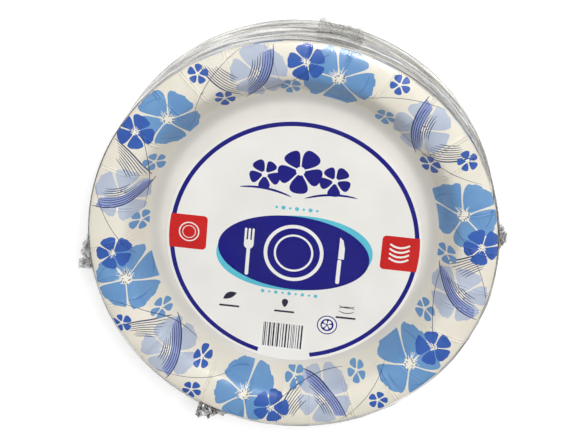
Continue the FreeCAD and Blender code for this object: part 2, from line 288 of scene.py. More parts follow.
def crescent(start, end, bow, lines, pitch, tinted=0):
    """A heavy arc with fine lines inside it that shorten one by one, partly over a pale tint."""
    arc = bent_line(start, end, bow, 21)
    along = tangents(arc)
    inward = np.stack([along[:, 1], -along[:, 0]], axis=1) * np.sign(bow)
    stations = np.linspace(0, 1, len(arc))

    def inner_line(offset, first, last, steps=12):
        share = np.linspace(first, last, steps)
        moved = arc + inward * offset * (0.66 + 0.34 * stations)[:, None]
        return np.stack([np.interp(share, stations, moved[:, axis]) for axis in (0, 1)], axis=1)

    shapes = []
    if tinted:
        under = inner_line(tinted * pitch, 0.12, 0.9)
        shapes.append(("tint", as_ring(np.concatenate([inner_line(0.0, 0.05, 0.95), under[::-1]]))))
    for k in range(1, lines):
        share = k / (lines - 1)
        first = 0.03 + 0.30 * share * chance.uniform(0.7, 1.2)
        last = 0.98 - 0.24 * share * chance.uniform(0.6, 1.2)
        shapes.append(("navy", stroke(inner_line(k * pitch, first, last), LINE_WIDTH)))
    shapes.append(("navy", stroke(arc, ARC_WIDTH)))
    return shapes


print("lines are", LINE_WIDTH, "wide and the arc of a crescent", ARC_WIDTH)

# %% [markdown]
# ## The heart of a blossom
# In the middle of each printed flower pale filaments spread like a fan, with grey anthers round a ragged
# pale disc. They are fine pen lines again, so they are drawn with the same stroke. The fan covers most of
# a turn and its outer filaments are the shortest, which keeps the heart from looking like a wheel.

# %% Hearts
HEART_FAN = 4.4
FILAMENT_LENGTHS = (0.24, 0.44)
ANTHER_PLACES = (0.06, 0.17)


def heart(centre, size, turn, count):
    """The pale middle of a blossom: a ragged disc, filaments that fan out to one side, grey anthers."""
    shapes = []
    for k in range(count):
        share = (k + chance.uniform(-0.4, 0.4)) / count - 0.5
        angle = turn + HEART_FAN * share
        length = size * chance.uniform(*FILAMENT_LENGTHS) * (1 - 0.9 * abs(share))
        foot, tip = centre + polar(angle, 0.05 * size), centre + polar(angle + 0.1, length)
        shapes.append(("pale", stroke(bent_line(foot, tip, chance.uniform(-0.2, 0.2), 4), 0.3, 0.6)))
    shapes.append(("pale", disc(centre, 0.13 * size, 16, 0.14, turn)))
    for k in range(count // 2):
        angle = turn + 4 * math.pi * (k + chance.uniform(-0.4, 0.4)) / count
        near = size * chance.uniform(*ANTHER_PLACES)
        foot, tip = centre + polar(angle, near), centre + polar(angle + 0.15, near + 0.06 * size)
        shapes.append(("stamen", stroke(bent_line(foot, tip, 0.03, 3), 0.45, 0.8)))
    return shapes


print("the filaments fan out over", round(math.degrees(HEART_FAN)), "degrees")

# %% [markdown]
# ## The ornament's layout
# Clusters and single flowers take turns round the rim. A cluster is one large blossom with a darker one
# laid over its edge. Between clusters stand a pale blossom with crescents of lines, and small flowers.
# Flowers could be strewn at random, but a printed rim looks evenly filled all round. So a loop deals the
# groups out at one step, and seeded draws move each one a little. Lengths are radii on the plate.

# %% Groups of flowers
LARGE_PLACES, LARGE_SIZES = (74.0, 79.0), (12.8, 14.9)
DARK_PLACES, DARK_ASIDE, DARK_SIZE = (78.0, 83.0), (0.16, 0.20), 8.0
PALE_PLACES, PALE_SIZE = (75.0, 80.0), 12.2
CREASED_PETALS = (0, 2, 3)


def cluster(angle, side):
    """A large mid-blue blossom with creased petals and, on one side, a dark blossom over its edge."""
    centre = polar(angle, chance.uniform(*LARGE_PLACES))
    turn = chance.uniform(0, 2 * math.pi)
    size = chance.uniform(*LARGE_SIZES)
    shapes = blossom(centre, size, turn, "mid", 0.55, 13.0, 0.02, 0.16)
    for k in CREASED_PETALS:
        heading = turn + 2 * math.pi * (k + 0.5) / PETALS
        near, far = centre + polar(heading - 0.42, 0.72 * size), centre + polar(heading + 0.40, 0.86 * size)
        shapes.append(("vein", stroke(bent_line(near, far, -0.7), 0.26)))
    shapes += heart(centre, size, turn, 22)
    aside = angle + side * chance.uniform(*DARK_ASIDE)
    second = polar(aside, chance.uniform(*DARK_PLACES))
    second_turn = chance.uniform(0, 2 * math.pi)
    shapes += blossom(second, DARK_SIZE, second_turn, "dark", 0.42, 8.0, 0.012)
    shapes += heart(second, 0.95 * DARK_SIZE, second_turn, 14)
    return shapes


def pale_group(angle):
    """A pale blossom with a tinted crescent of lines over it and an open crescent beside it."""
    centre = polar(angle, chance.uniform(*PALE_PLACES))
    turn = chance.uniform(0, 2 * math.pi)
    shapes = blossom(centre, PALE_SIZE, turn, "pale_blue", 0.6, 10.0, 0.02, 0.14)
    shapes += heart(centre, PALE_SIZE, turn, 16)
    side = chance.choice((-1, 1))
    over_start, over_end = polar(angle - side * 0.13, 65.5), polar(angle + side * 0.10, 88.2)
    shapes += crescent(over_start, over_end, side * 4.5, 9, 1.15, 4)
    beside_start, beside_end = polar(angle - side * 0.27, 88.4), polar(angle - side * 0.14, 67.5)
    shapes += crescent(beside_start, beside_end, side * 2.0, 8, 1.25)
    return shapes


def small_flower(angle, radius, size, ink):
    centre = polar(angle, radius)
    turn = chance.uniform(0, 2 * math.pi)
    shapes = blossom(centre, size, turn, ink, 0.6, 4.5, 0.0)
    shapes.append(("pale", disc(centre, 0.2 * size, 10)))
    shapes.append(("stamen", disc(centre + np.array([0.1, -0.1]) * size, 0.25, 6)))
    return shapes


print("a large blossom is", LARGE_SIZES, "in radius, a pale one", PALE_SIZE, "and a dark one", DARK_SIZE)

# %% [markdown]
# ## All the way round
# The rim takes six clusters. The pale groups are laid first, so that the clusters cover their edges, then
# the small flowers, and thin stems last. The print's inner edge cuts the flowers off in a clean circle, as
# on the real plate.

# %% Lay out the rim print
PRINT_INNER = 64.2
CLUSTERS = 6
FIRST_CLUSTER = math.radians(12)
STEM_WIDTH, FINE_STEM_WIDTH = 0.26, 0.24


def rim_ornament():
    """Every outline of the rim print, in painter's order."""
    shapes = []
    step = 2 * math.pi / CLUSTERS
    start = FIRST_CLUSTER
    for k in range(CLUSTERS):
        shapes += pale_group(start + (k + 0.5) * step + chance.uniform(-0.04, 0.04))
    for k in range(CLUSTERS):
        shapes += cluster(start + k * step + chance.uniform(-0.05, 0.05), 1 if k % 3 else -1)
    for k in range(CLUSTERS):
        angle, side = start + k * step, 1 if k % 3 else -1
        shapes += small_flower(angle - side * 0.25 * step, chance.uniform(84, 86), 4.5, "dark")
        shapes += small_flower(angle + side * 0.30 * step, chance.uniform(67, 70), 4.6, "mid")
        ink = "mid" if k % 2 else "dark"
        shapes += small_flower(angle - side * 0.30 * step, chance.uniform(67, 71), 4.3, ink)
    for k in range(CLUSTERS):
        angle = start + k * step
        link = bent_line(polar(angle + 0.12, 86), polar(angle + 0.62 * step, 67), 3.5, 15)
        shapes.append(("navy", stroke(link, STEM_WIDTH)))
        away = bent_line(polar(angle + 0.52 * step, 88.5), polar(angle + 0.9 * step, 70), -3.0, 15)
        shapes.append(("navy", stroke(away, FINE_STEM_WIDTH)))
    return shapes


ornament = rim_ornament()
print(len(ornament), "outlines in the rim print")

# %% [markdown]
# ## Inlaying the print
# The outlines could float over the plate as thin sheets, or be painted into a texture. Here they are cut
# into the plate's own surface: one flat constrained triangulation takes the outlines and a set of plain
# points, so every edge of the print is an edge of the mesh and stays sharp at any distance. Each triangle
# then takes the material of the uppermost outline that covers it.

# %% Triangulate a flat field along outlines
MERGE = 0.004


def inside(outline, spots):
    """Which spots lie in a closed outline, by counting the edges that a level ray from each one crosses."""
    near = np.flatnonzero(np.all((spots > outline.min(axis=0)) & (spots < outline.max(axis=0)), axis=1))
    x, y = spots[near, 0][:, None], spots[near, 1][:, None]
    x0, y0 = outline[:, 0], outline[:, 1]
    x1, y1 = np.roll(x0, -1), np.roll(y0, -1)
    crosses = (y0 > y) != (y1 > y)
    with np.errstate(divide="ignore", invalid="ignore"):
        reach = x0 + (y - y0) * (x1 - x0) / (y1 - y0)
    return near[np.sum(crosses & (x < reach), axis=1) % 2 == 1]


def inlay(ground, shapes, mask, spare_points):
    """Points, triangles and, for each triangle, its ink. The ground comes first and the mask last."""
    layers = [("ground", ground)] + shapes + ([("mask", mask)] if mask is not None else [])
    points = [Vector(p) for p in spare_points]
    edges = []
    for _, outline in layers:
        first = len(points)
        points += [Vector(p) for p in outline]
        edges += [(first + k, first + (k + 1) % len(outline)) for k in range(len(outline))]
    flat, _, triangles, _, _, _ = delaunay_2d_cdt(points, edges, [], 0, MERGE)
    flat, triangles = np.array([tuple(p) for p in flat]), np.array(triangles)
    middles = flat[triangles].mean(axis=1)
    inks = np.full(len(triangles), "", dtype=object)
    for ink, outline in layers:
        inks[inside(outline, middles)] = ink
    kept = np.zeros(len(triangles), bool)
    kept[inside(ground, middles)] = True
    return flat, triangles[kept], list(inks[kept])


print("points closer than", MERGE, "mm become one")

# %% [markdown]
# ## Where the mesh needs points
# A flat field cut only along the print would have long triangles that can't follow a bend. Subdividing
# everything would be wasteful on the flat floor. So plain points are added where the plate curves: rings
# over the bends, each turned by half a step from the last, and nine columns across every crimp.

# %% Triangulate the top plate
BEND_RINGS = [58, 60, 62, 65, 67, 69, 70.5, *range(72, 79), 80, 82, 84, 85.5, 86.3, 87, 87.6, 88.1, 88.5]
RING_POINTS, FLOOR_POINTS, CRIMP_ROWS = 240, 96, 22


def plate_points(crimps):
    """Plain points where the plate curves: rings over the bends and columns along each crimp."""
    points = []
    for radius in (20, 40, 54):
        points += [polar(2 * math.pi * k / FLOOR_POINTS, radius) for k in range(FLOOR_POINTS)]
    for turn, radius in enumerate(BEND_RINGS):
        for k in range(RING_POINTS):
            points.append(polar(2 * math.pi * (k + 0.5 * (turn % 2)) / RING_POINTS, radius))
    aside = np.array([-1.05, -0.78, -0.55, -0.32, 0.0, 0.32, 0.55, 0.78, 1.05])
    columns = []
    for crimp in crimps:
        for radius in np.linspace(CRIMP_START, RIM_RADIUS - 0.3, CRIMP_ROWS):
            columns += [polar(crimp_angle(crimp, radius) + gap / radius, radius) for gap in aside]
    return points + columns


def circle(radius, steps):
    return as_ring([polar(2 * math.pi * k / steps, radius) for k in range(steps)])


flat, triangles, inks = inlay(
    circle(RIM_RADIUS, 360), ornament, circle(PRINT_INNER, 300), plate_points(TOP_CRIMPS)
)
print("top plate's field:", len(flat), "points,", len(triangles), "triangles, inks", sorted(set(inks)))

# %% [markdown]
# ## From flat field to pressed board
# Pressing lifts every point to the section's height. The underside is the same field set one board
# thickness below, along the surface's normal, and a narrow wall joins the two at the cut edge. The
# normals come from the height itself, so bends shade smoothly however the triangles lie.

# %% Normals, edges and pieces
def add_piece(name, points, faces, smooth=True):
    """A mesh piece in the scene, from points in millimetres."""
    mesh = bpy.data.meshes.new(name)
    mesh.from_pydata((np.array(points) * MM).tolist(), [], faces)
    mesh.polygons.foreach_set("use_smooth", np.full(len(faces), smooth))
    mesh.update()
    piece = bpy.data.objects.new(name, mesh)
    bpy.context.scene.collection.objects.link(piece)
    return piece


def surface_normals(flat, height, step=0.04):
    """Unit normals of a height field at flat points."""
    slopes = []
    for axis in (0, 1):
        ahead, behind = flat.copy(), flat.copy()
        ahead[:, axis] += step
        behind[:, axis] -= step
        slopes.append((height(ahead) - height(behind)) / (2 * step))
    normals = np.stack([-slopes[0], -slopes[1], np.ones(len(flat))], axis=1)
    return normals / np.linalg.norm(normals, axis=1)[:, None]


def edge_loop(triangles):
    """Directed outer edges of a set of triangles."""
    pairs = np.concatenate([triangles[:, [0, 1]], triangles[:, [1, 2]], triangles[:, [2, 0]]])
    known = {tuple(pair) for pair in pairs.tolist()}
    return np.array([pair for pair in pairs.tolist() if (pair[1], pair[0]) not in known])


print("the field's outer edge has", len(edge_loop(triangles)), "sides")

# %% [markdown]
# ## Closing the sheet
# A mesh of the upper face alone would be a stray sheet. A Solidify modifier could give it thickness, but it
# would also thicken the crimps and blur the print's edges. So the back is the same field one board lower
# without the crimps, and flat walls close the rim. Their normals stay square, so that the cut edge is crisp.

# %% Press a board
def make_board(name, flat, triangles, height, smooth, thickness, materials, face_slots, raw_slot):
    """A closed sheet: its face, its back below the smooth height, and the cut edge between them."""
    used, triangles = np.unique(triangles, return_inverse=True)
    triangles = triangles.reshape(-1, 3)
    flat = flat[used]
    normals = surface_normals(flat, height)
    back_normals = surface_normals(flat, smooth)
    back_points = np.column_stack([flat, smooth(flat)]) - back_normals * thickness
    points = np.concatenate([np.column_stack([flat, height(flat)]), back_points])
    count = len(flat)
    edges = edge_loop(triangles)
    walls = np.concatenate(
        [
            np.stack([edges[:, 1], edges[:, 0], edges[:, 0] + count], axis=1),
            np.stack([edges[:, 1], edges[:, 0] + count, edges[:, 1] + count], axis=1),
        ]
    )
    faces = np.concatenate([triangles, triangles[:, ::-1] + count, walls])
    slots = np.concatenate([face_slots, np.full(len(triangles) + len(walls), raw_slot)])
    piece = add_piece(name, points, faces.tolist())
    for material in materials:
        piece.data.materials.append(material)
    piece.data.polygons.foreach_set("material_index", slots.astype(np.int32))
    corners = points[faces]
    wall_normals = np.cross(corners[:, 1] - corners[:, 0], corners[:, 2] - corners[:, 0])
    wall_normals /= np.maximum(np.linalg.norm(wall_normals, axis=1), 1e-12)[:, None]
    loop_normals = np.concatenate([normals, -back_normals])[faces]
    loop_normals[2 * len(triangles) :] = wall_normals[2 * len(triangles) :, None, :]
    piece.data.normals_split_custom_set(loop_normals.reshape(-1, 3).tolist())
    return piece


print("a board is", BOARD, "thick, and its back has no crimps")

# %% [markdown]
# ## Small tools for materials
# Every finish below is built from the same few nodes: a colour, a noise in the object's own space, a range
# that the noise is mapped to, a mix and a ramp. They could be added by hand in the shader editor each time.
# As helpers they keep one look through all the finishes, and each finish then reads as one sentence.

# %% Helpers for finishes
def rgb(red, green, blue):
    """A colour given as it looks on a screen, turned to the linear values that shaders use."""
    linear = []
    for level in (red, green, blue):
        share = level / 255
        linear.append(((share + 0.055) / 1.055) ** 2.4 if level > 10 else share / 12.92)
    return linear + [1.0]


def new_material(name):
    material = bpy.data.materials.new(name)
    material.use_nodes = True
    tree = material.node_tree
    return material, tree, tree.nodes["Principled BSDF"]


def add_noise(tree, scale, detail=4.0, stretch=None, space="Object"):
    where = tree.nodes.new("ShaderNodeTexCoord")
    field = tree.nodes.new("ShaderNodeTexNoise")
    field.inputs["Scale"].default_value = scale
    field.inputs["Detail"].default_value = detail
    source = where.outputs[space]
    if stretch:
        shape = tree.nodes.new("ShaderNodeMapping")
        shape.inputs["Scale"].default_value = stretch
        tree.links.new(source, shape.inputs["Vector"])
        source = shape.outputs["Vector"]
    tree.links.new(source, field.inputs["Vector"])
    return field.outputs["Fac"]


def spread(tree, source, low, high, reach=0.2):
    """Maps a noise's middle range, from 0.5 - reach to 0.5 + reach, to low and high."""
    ramp = tree.nodes.new("ShaderNodeMapRange")
    ramp.inputs["From Min"].default_value = 0.5 - reach
    ramp.inputs["From Max"].default_value = 0.5 + reach
    ramp.inputs["To Min"].default_value = low
    ramp.inputs["To Max"].default_value = high
    tree.links.new(source, ramp.inputs["Value"])
    return ramp.outputs["Result"]


def mix_colours(tree, share, first, second):
    mix = tree.nodes.new("ShaderNodeMix")
    mix.data_type = "RGBA"
    tree.links.new(share, mix.inputs["Factor"])
    for value, socket in ((first, mix.inputs["A"]), (second, mix.inputs["B"])):
        if isinstance(value, list):
            socket.default_value = value
        else:
            tree.links.new(value, socket)
    return mix.outputs["Result"]


def colour_ramp(tree, source, stops, blend):
    """Colours along a value from 0 to 1. Each stop is a place and a colour."""
    ramp = tree.nodes.new("ShaderNodeValToRGB")
    ramp.color_ramp.interpolation = blend
    elements = ramp.color_ramp.elements
    for number, (place, colour) in enumerate(stops):
        stop = elements[number] if number < 2 else elements.new(place)
        stop.position = place
        stop.color = colour
    tree.links.new(source, ramp.inputs["Fac"])
    return ramp.outputs["Color"]


print("mid grey on a screen is", round(rgb(128, 128, 128)[0], 3), "to a shader")

# %% [markdown]
# ## Board and ink
# Plate board is bleached pulp with a thin satin coat on its face. Close up it has a faint mottle and a
# soft, slightly uneven surface. One function builds every printed finish, so that ink and bare board share
# the same grain: a noise shifts the colour a little, another drives roughness, and a third is a low bump.
# The foot of the dish also gets a painted shade: a darker band where the bend lies in shade. It is tied to
# the distance from the axis, so it stays with the plate from every side.

# %% Board and ink finishes
# Painted shade in the bend at the foot of the dish: tones by distance from the axis.
PAINTED_BEND_TONES = ((54.0, 1.0), (58.5, 0.93), (61.0, 0.72), (63.5, 0.76), (67.0, 0.95), (72.0, 1.0))
MOTTLE_SCALE, SHEEN_SCALE, GRAIN_SCALE = 90, 420, 900
GRAIN_DEPTH = 0.0002
BOARD_SHINE = 0.35


def painted_bend_shade(tree, colour):
    """Painted shade: darkens a colour in a band at the foot of the dish, where the bend lies in shade."""
    where = tree.nodes.new("ShaderNodeTexCoord")
    level = tree.nodes.new("ShaderNodeVectorMath")
    level.operation = "MULTIPLY"
    level.inputs[1].default_value = (1.0, 1.0, 0.0)
    tree.links.new(where.outputs["Object"], level.inputs[0])
    reach = tree.nodes.new("ShaderNodeVectorMath")
    reach.operation = "LENGTH"
    tree.links.new(level.outputs["Vector"], reach.inputs[0])
    first, last = PAINTED_BEND_TONES[0][0], PAINTED_BEND_TONES[-1][0]
    place = tree.nodes.new("ShaderNodeMapRange")
    place.inputs["From Min"].default_value = first * MM
    place.inputs["From Max"].default_value = last * MM
    tree.links.new(reach.outputs["Value"], place.inputs["Value"])
    stops = []
    for radius, tone in PAINTED_BEND_TONES:
        stops.append(((radius - first) / (last - first), (tone, tone * 0.99, tone * 0.975, 1.0)))
    tones = colour_ramp(tree, place.outputs["Result"], stops, "B_SPLINE")
    shaded = tree.nodes.new("ShaderNodeMix")
    shaded.data_type = "RGBA"
    shaded.blend_type = "MULTIPLY"
    shaded.inputs["Factor"].default_value = 1.0
    tree.links.new(colour, shaded.inputs["A"])
    tree.links.new(tones, shaded.inputs["B"])
    return shaded.outputs["Result"]


def board_finish(name, colour, darker, roughness=0.42, grain=0.05, bend_shaded=False):
    """Printed or bare board: a mottled colour, an uneven sheen and a fine grain."""
    material, tree, shader = new_material(name)
    mottled = mix_colours(tree, spread(tree, add_noise(tree, MOTTLE_SCALE), 0, 1), colour, darker)
    # The plates' board can take the painted shade of the bend at the foot of the dish.
    tree.links.new(painted_bend_shade(tree, mottled) if bend_shaded else mottled, shader.inputs["Base Color"])
    sheen = spread(tree, add_noise(tree, SHEEN_SCALE), roughness - 0.05, roughness + 0.06)
    tree.links.new(sheen, shader.inputs["Roughness"])
    bump = tree.nodes.new("ShaderNodeBump")
    bump.inputs["Strength"].default_value = grain
    bump.inputs["Distance"].default_value = GRAIN_DEPTH
    tree.links.new(add_noise(tree, GRAIN_SCALE, 6), bump.inputs["Height"])
    tree.links.new(bump.outputs["Normal"], shader.inputs["Normal"])
    shader.inputs["Specular IOR Level"].default_value = BOARD_SHINE
    return material


print("the bend's tone goes down to", min(tone for _, tone in PAINTED_BEND_TONES))

# %% [markdown]
# ## The colours of the print
# A printer mixes each ink once and uses it wherever the drawing calls for it. So each ink here is one
# material, with a second, slightly darker colour for its mottle, and the triangles only name their ink.
# The bare cut edge is a finish of its own, rougher and without the coat.

# %% Inks
INKS = {
    "mask": ("coated_board", rgb(232, 229, 223), rgb(227, 224, 217)),
    "ground": ("rim_ground", rgb(236, 232, 219), rgb(231, 226, 212)),
    "mid": ("mid_blue_ink", rgb(116, 161, 207), rgb(98, 146, 199)),
    "dark": ("dark_blue_ink", rgb(56, 100, 184), rgb(46, 86, 170)),
    "pale_blue": ("pale_blue_ink", rgb(192, 201, 217), rgb(176, 187, 208)),
    "pale": ("petal_white", rgb(240, 238, 230), rgb(234, 231, 221)),
    "stamen": ("stamen_grey_ink", rgb(92, 104, 128), rgb(74, 86, 112)),
    "vein": ("vein_blue_ink", rgb(62, 116, 184), rgb(54, 104, 172)),
    "navy": ("navy_line_ink", rgb(58, 68, 112), rgb(48, 58, 100)),
    "tint": ("violet_tint_ink", rgb(152, 166, 214), rgb(136, 152, 206)),
}
ink_names = list(INKS)
# Every ink of the plates takes the painted bend shade.
ink_materials = [board_finish(*INKS[ink], bend_shaded=True) for ink in ink_names]
raw_board = board_finish("raw_board", rgb(232, 229, 222), rgb(222, 218, 209), 0.7, 0.12)
print(len(ink_materials), "printed finishes and one raw one")

# %% [markdown]
# ## The top plate
# Only this plate shows its face, so it alone carries the full print and crimps that all differ. It could
# take its shape from the CAD solid, but the print has to be cut into the surface, so the flat field is
# pressed here to the same section. The frame gives the height at which it lies, and the finished piece
# then takes the CAD node's place.

# %% The top plate
def base_height(node):
    """Height of the lowest point of a CAD node."""
    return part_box(node)[0].z / MM


def seat(piece, node):
    """The piece takes the place of a CAD node."""
    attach(piece, "root")
    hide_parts(node)


top_base = base_height(TOP_PLATE)
top_plate = make_board(
    "top_plate", flat, triangles, lambda p: top_base + plate_height(p, TOP_CRIMPS),
    lambda p: top_base + plate_height(p, []), BOARD, ink_materials + [raw_board],
    [ink_names.index(ink) for ink in inks], len(ink_names),
)
seat(top_plate, TOP_PLATE)
print("top plate:", len(top_plate.data.polygons), "triangles")

# %% [markdown]
# ## The plates below
# Only the lips of the other plates show, as fine lines round the side of the pack. Copies of one mesh
# would line up too well, because die-cut edges vary a little. So each plate gets its own slightly wandering
# edge. The shared crimps stand at one even step, so that the plates nest. No print is cut into these
# fields: a plain polar grid with columns at the crimps is lighter and bends as well.

# %% The field of a stacked plate
LIP_WANDER, LIP_START = 0.28, 87.0
BOARD_RINGS = [30.0, FLOOR_RADIUS, 61.0, 64.5, 67.0, 71.0, 73.5, 76.0, 79.5, 83.0, 86.0]
BOARD_RINGS += [87.4, 88.2, RIM_RADIUS]
CRIMP_COLUMNS, COLUMN_RADIUS = np.array([-0.95, -0.55, 0.0, 0.55, 0.95]), 80


def edge_wander(angles, phase):
    """How far one plate's die-cut edge strays, from -1 to 1, at each angle."""
    spots = [(math.cos(a) * 1.7 + phase, math.sin(a) * 1.7, phase * 3.1) for a in angles]
    return np.array([noise.noise(spot) for spot in spots])


def plate_grid(phase):
    """A flat polar field whose outer ring wanders inwards from the full radius."""
    angles = []
    for crimp in EVEN_CRIMPS:
        angles += list(crimp[0] + CRIMP_COLUMNS / COLUMN_RADIUS)
        angles += list(crimp[0] + np.array([0.36, 0.64]) * 2 * math.pi / CRIMPS)
    angles = np.array(angles)
    points = [np.zeros(2)]
    for radius in BOARD_RINGS:
        trim = 0.0
        if radius > LIP_START:
            share = (radius - LIP_START) / (RIM_RADIUS - LIP_START)
            trim = LIP_WANDER * share * (0.5 + edge_wander(angles, phase))
        ring = np.stack([np.cos(angles), np.sin(angles)], axis=1)
        points += list(ring * np.atleast_1d(radius - trim)[:, None])
    columns = len(angles)
    faces = [(0, 1 + k, 1 + (k + 1) % columns) for k in range(columns)]
    for ring in range(len(BOARD_RINGS) - 1):
        inner, outer = 1 + ring * columns, 1 + (ring + 1) * columns
        for k in range(columns):
            after = (k + 1) % columns
            faces.append((inner + k, outer + k, outer + after))
            faces.append((inner + k, outer + after, inner + after))
    return np.array(points), np.array(faces)


print("a stacked plate's field has", len(plate_grid(0.0)[1]), "triangles")

# %% [markdown]
# ## Print on the lips
# The flowers of every plate run over its lip, so the side of the stack shows short patches of blue on
# cream. Cutting them into forty meshes would cost far more than it shows. A cell noise gives patches of
# the right length instead, a ramp deals them the three blues, and each plate sees it turned differently.

# %% Lip print
PATCH_SCALE, PATCH_EDGES = 62, (0.42, 0.36)
PRINT_TURN, PRINT_FINISHES = 1.9, 6
LIP_CREAM = rgb(243, 238, 226)
LIP_INKS = [(0.0, LIP_CREAM), (0.42, rgb(104, 160, 214))]
LIP_INKS += [(0.68, rgb(52, 98, 190)), (0.82, rgb(190, 206, 226))]


def lip_print(name, turn):
    """Cream board with blue patches towards the lip, as the print of a stacked plate shows there."""
    material, tree, shader = new_material(name)
    where = tree.nodes.new("ShaderNodeTexCoord")
    place = tree.nodes.new("ShaderNodeMapping")
    place.inputs["Rotation"].default_value = (0.0, 0.0, turn)
    tree.links.new(where.outputs["Object"], place.inputs["Vector"])
    field = tree.nodes.new("ShaderNodeTexVoronoi")
    field.inputs["Scale"].default_value = PATCH_SCALE
    tree.links.new(place.outputs["Vector"], field.inputs["Vector"])
    patch = tree.nodes.new("ShaderNodeMapRange")
    patch.inputs["From Min"].default_value = PATCH_EDGES[0]
    patch.inputs["From Max"].default_value = PATCH_EDGES[1]
    tree.links.new(field.outputs["Distance"], patch.inputs["Value"])
    separate = tree.nodes.new("ShaderNodeSeparateColor")
    tree.links.new(field.outputs["Color"], separate.inputs["Color"])
    inks = colour_ramp(tree, separate.outputs["Red"], LIP_INKS, "CONSTANT")
    printed = mix_colours(tree, patch.outputs["Result"], LIP_CREAM, inks)
    tree.links.new(printed, shader.inputs["Base Color"])
    tree.links.new(spread(tree, add_noise(tree, SHEEN_SCALE), 0.38, 0.5), shader.inputs["Roughness"])
    shader.inputs["Specular IOR Level"].default_value = BOARD_SHINE
    return material


LIP_FINISHES = [lip_print(f"rim_print_{k + 1}", PRINT_TURN * k) for k in range(PRINT_FINISHES)]
print(len(LIP_FINISHES), "turns of the lip print")

# %% [markdown]
# ## The stack
# Each of the other plates is a piece of its own, as on a bench. They could be instances of one plate, but
# then the edges would line up. So a loop presses each one at the height that the frame gives it, with its
# own wandering edge, and hands out the lip prints in turn.

# %% Stacked plates
WANDER_STEP = 0.37

for number, node in enumerate(PLATES[:-1]):
    plate_flat, plate_faces = plate_grid(WANDER_STEP * number)
    base = base_height(node)
    plate = make_board(
        "stacked_" + node, plate_flat, plate_faces, lambda p: base + plate_height(p, EVEN_CRIMPS),
        lambda p: base + plate_height(p, []), BOARD,
        [LIP_FINISHES[number % len(LIP_FINISHES)], raw_board], np.zeros(len(plate_faces)), 1,
    )
    seat(plate, node)
print("each stacked plate:", len(plate.data.polygons), "triangles")

# %% [markdown]
# ## The label card
# A loose card lies in the top dish, slid to one side as the pack was handled. It carries a navy ring, two
# red tabs and a navy oval over a turquoise one, with plain pictures of tableware and simple bars. It could
# be one image on a disc, but shapes that are inlaid like the rim print stay sharp and need no image. The
# outlines are drawn about the card's own middle, level, and turned as a whole at the end.

# %% Ring, tabs and ovals
RING_OUTER, RING_INNER = 55.7, 53.7
RING_GAP = math.radians(12.5)
TAB_HALF_HEIGHT, TAB_INNER_EDGE, TAB_CORNER = 8.0, 39.0, 1.8
TAB_OVER_RING, TAB_HALF_TURN = 0.25, 0.143


def turned(outline, angle):
    """The outline turned about the card's middle."""
    cos, sin = math.cos(angle), math.sin(angle)
    x, y = outline[:, 0], outline[:, 1]
    return np.stack([x * cos - y * sin, x * sin + y * cos], axis=1)


def oval(centre, half_width, half_height, turn=0.0, steps=72):
    angles = 2 * math.pi * np.arange(steps) / steps
    level = np.stack([half_width * np.cos(angles), half_height * np.sin(angles)], axis=1)
    return as_ring(turned(level, turn) + np.array(centre))


def rounded_bar(centre, half_width, half_height, corner, steps=5):
    ring = []
    for sign_x, sign_y, start in ((1, 1, 0), (-1, 1, 90), (-1, -1, 180), (1, -1, 270)):
        for k in range(steps):
            angle = math.radians(start + 90 * k / (steps - 1))
            ring.append(
                (
                    centre[0] + sign_x * (half_width - corner) + corner * math.cos(angle),
                    centre[1] + sign_y * (half_height - corner) + corner * math.sin(angle),
                )
            )
    return as_ring(ring)


def card_ring():
    """The navy ring, open at the bottom where the striped block stands."""
    angles = np.linspace(-math.pi / 2 + RING_GAP, 1.5 * math.pi - RING_GAP, 150)
    outer = [polar(a, RING_OUTER) for a in angles]
    inner = [polar(a, RING_INNER) for a in reversed(angles)]
    return as_ring(outer + inner)


def tab(side):
    """A red tab that ends flush with the outside of the ring."""
    edge = [polar(a, RING_OUTER + TAB_OVER_RING) for a in np.linspace(-TAB_HALF_TURN, TAB_HALF_TURN, 9)]
    inner = []
    for sign, start in ((1, 90), (-1, 180)):
        middle = np.array([TAB_INNER_EDGE + TAB_CORNER, sign * (TAB_HALF_HEIGHT - TAB_CORNER)])
        inner += [middle + polar(math.radians(start + 90 * k / 4), TAB_CORNER) for k in range(5)]
    return as_ring([(side * x, y) for x, y in edge + inner])


print("the ring is", round(RING_OUTER - RING_INNER, 1), "wide")
print("and stops for", round(2 * math.degrees(RING_GAP)), "degrees")

# %% [markdown]
# ## Tableware pictures
# In the middle of the card stand a plate, a fork and a knife, as flat white pictures. They could be one
# drawn curve each, but plain bars, discs and ovals that overlap in the same ink read as one shape, and
# each keeps its proportions when it is scaled.

# %% Plate, fork and knife
def fork(x, y, scale):
    """A fork from a handle, a root and three tines."""
    handle = rounded_bar((x, y - 3.6 * scale), 0.55 * scale, 4.6 * scale, 0.5 * scale)
    root = oval((x, y + 2.0 * scale), 1.5 * scale, 1.6 * scale, 0, 20)
    shapes = [("label_white", handle), ("label_white", root)]
    for k in (-1, 0, 1):
        tine = rounded_bar((x + k * 1.15 * scale, y + 4.6 * scale), 0.34 * scale, 2.6 * scale, 0.3 * scale)
        shapes.append(("label_white", tine))
    return shapes


def knife(x, y, scale):
    """A knife from a handle and a blade with one curved side."""
    handle = rounded_bar((x, y - 4.2 * scale), 0.6 * scale, 4.0 * scale, 0.5 * scale)
    corners = ((-0.5, 0.0), (-0.5, 7.2), (0.6, 6.2), (1.3, 3.5), (1.3, 0.0))
    blade = as_ring([(x + across * scale, y + up * scale) for across, up in corners])
    return [("label_white", handle), ("label_white", blade)]


def plate_picture(centre, size, ink, back):
    """A plate seen from above: a disc, a rim line and a well."""
    return [
        (ink, disc(centre, size, 48)),
        (back, disc(centre, 0.88 * size, 48)),
        (ink, disc(centre, 0.66 * size, 40)),
        (back, disc(centre, 0.59 * size, 40)),
    ]


print("the fork is", len(fork(0, 0, 1.0)), "shapes and the knife", len(knife(0, 0, 1.0)))

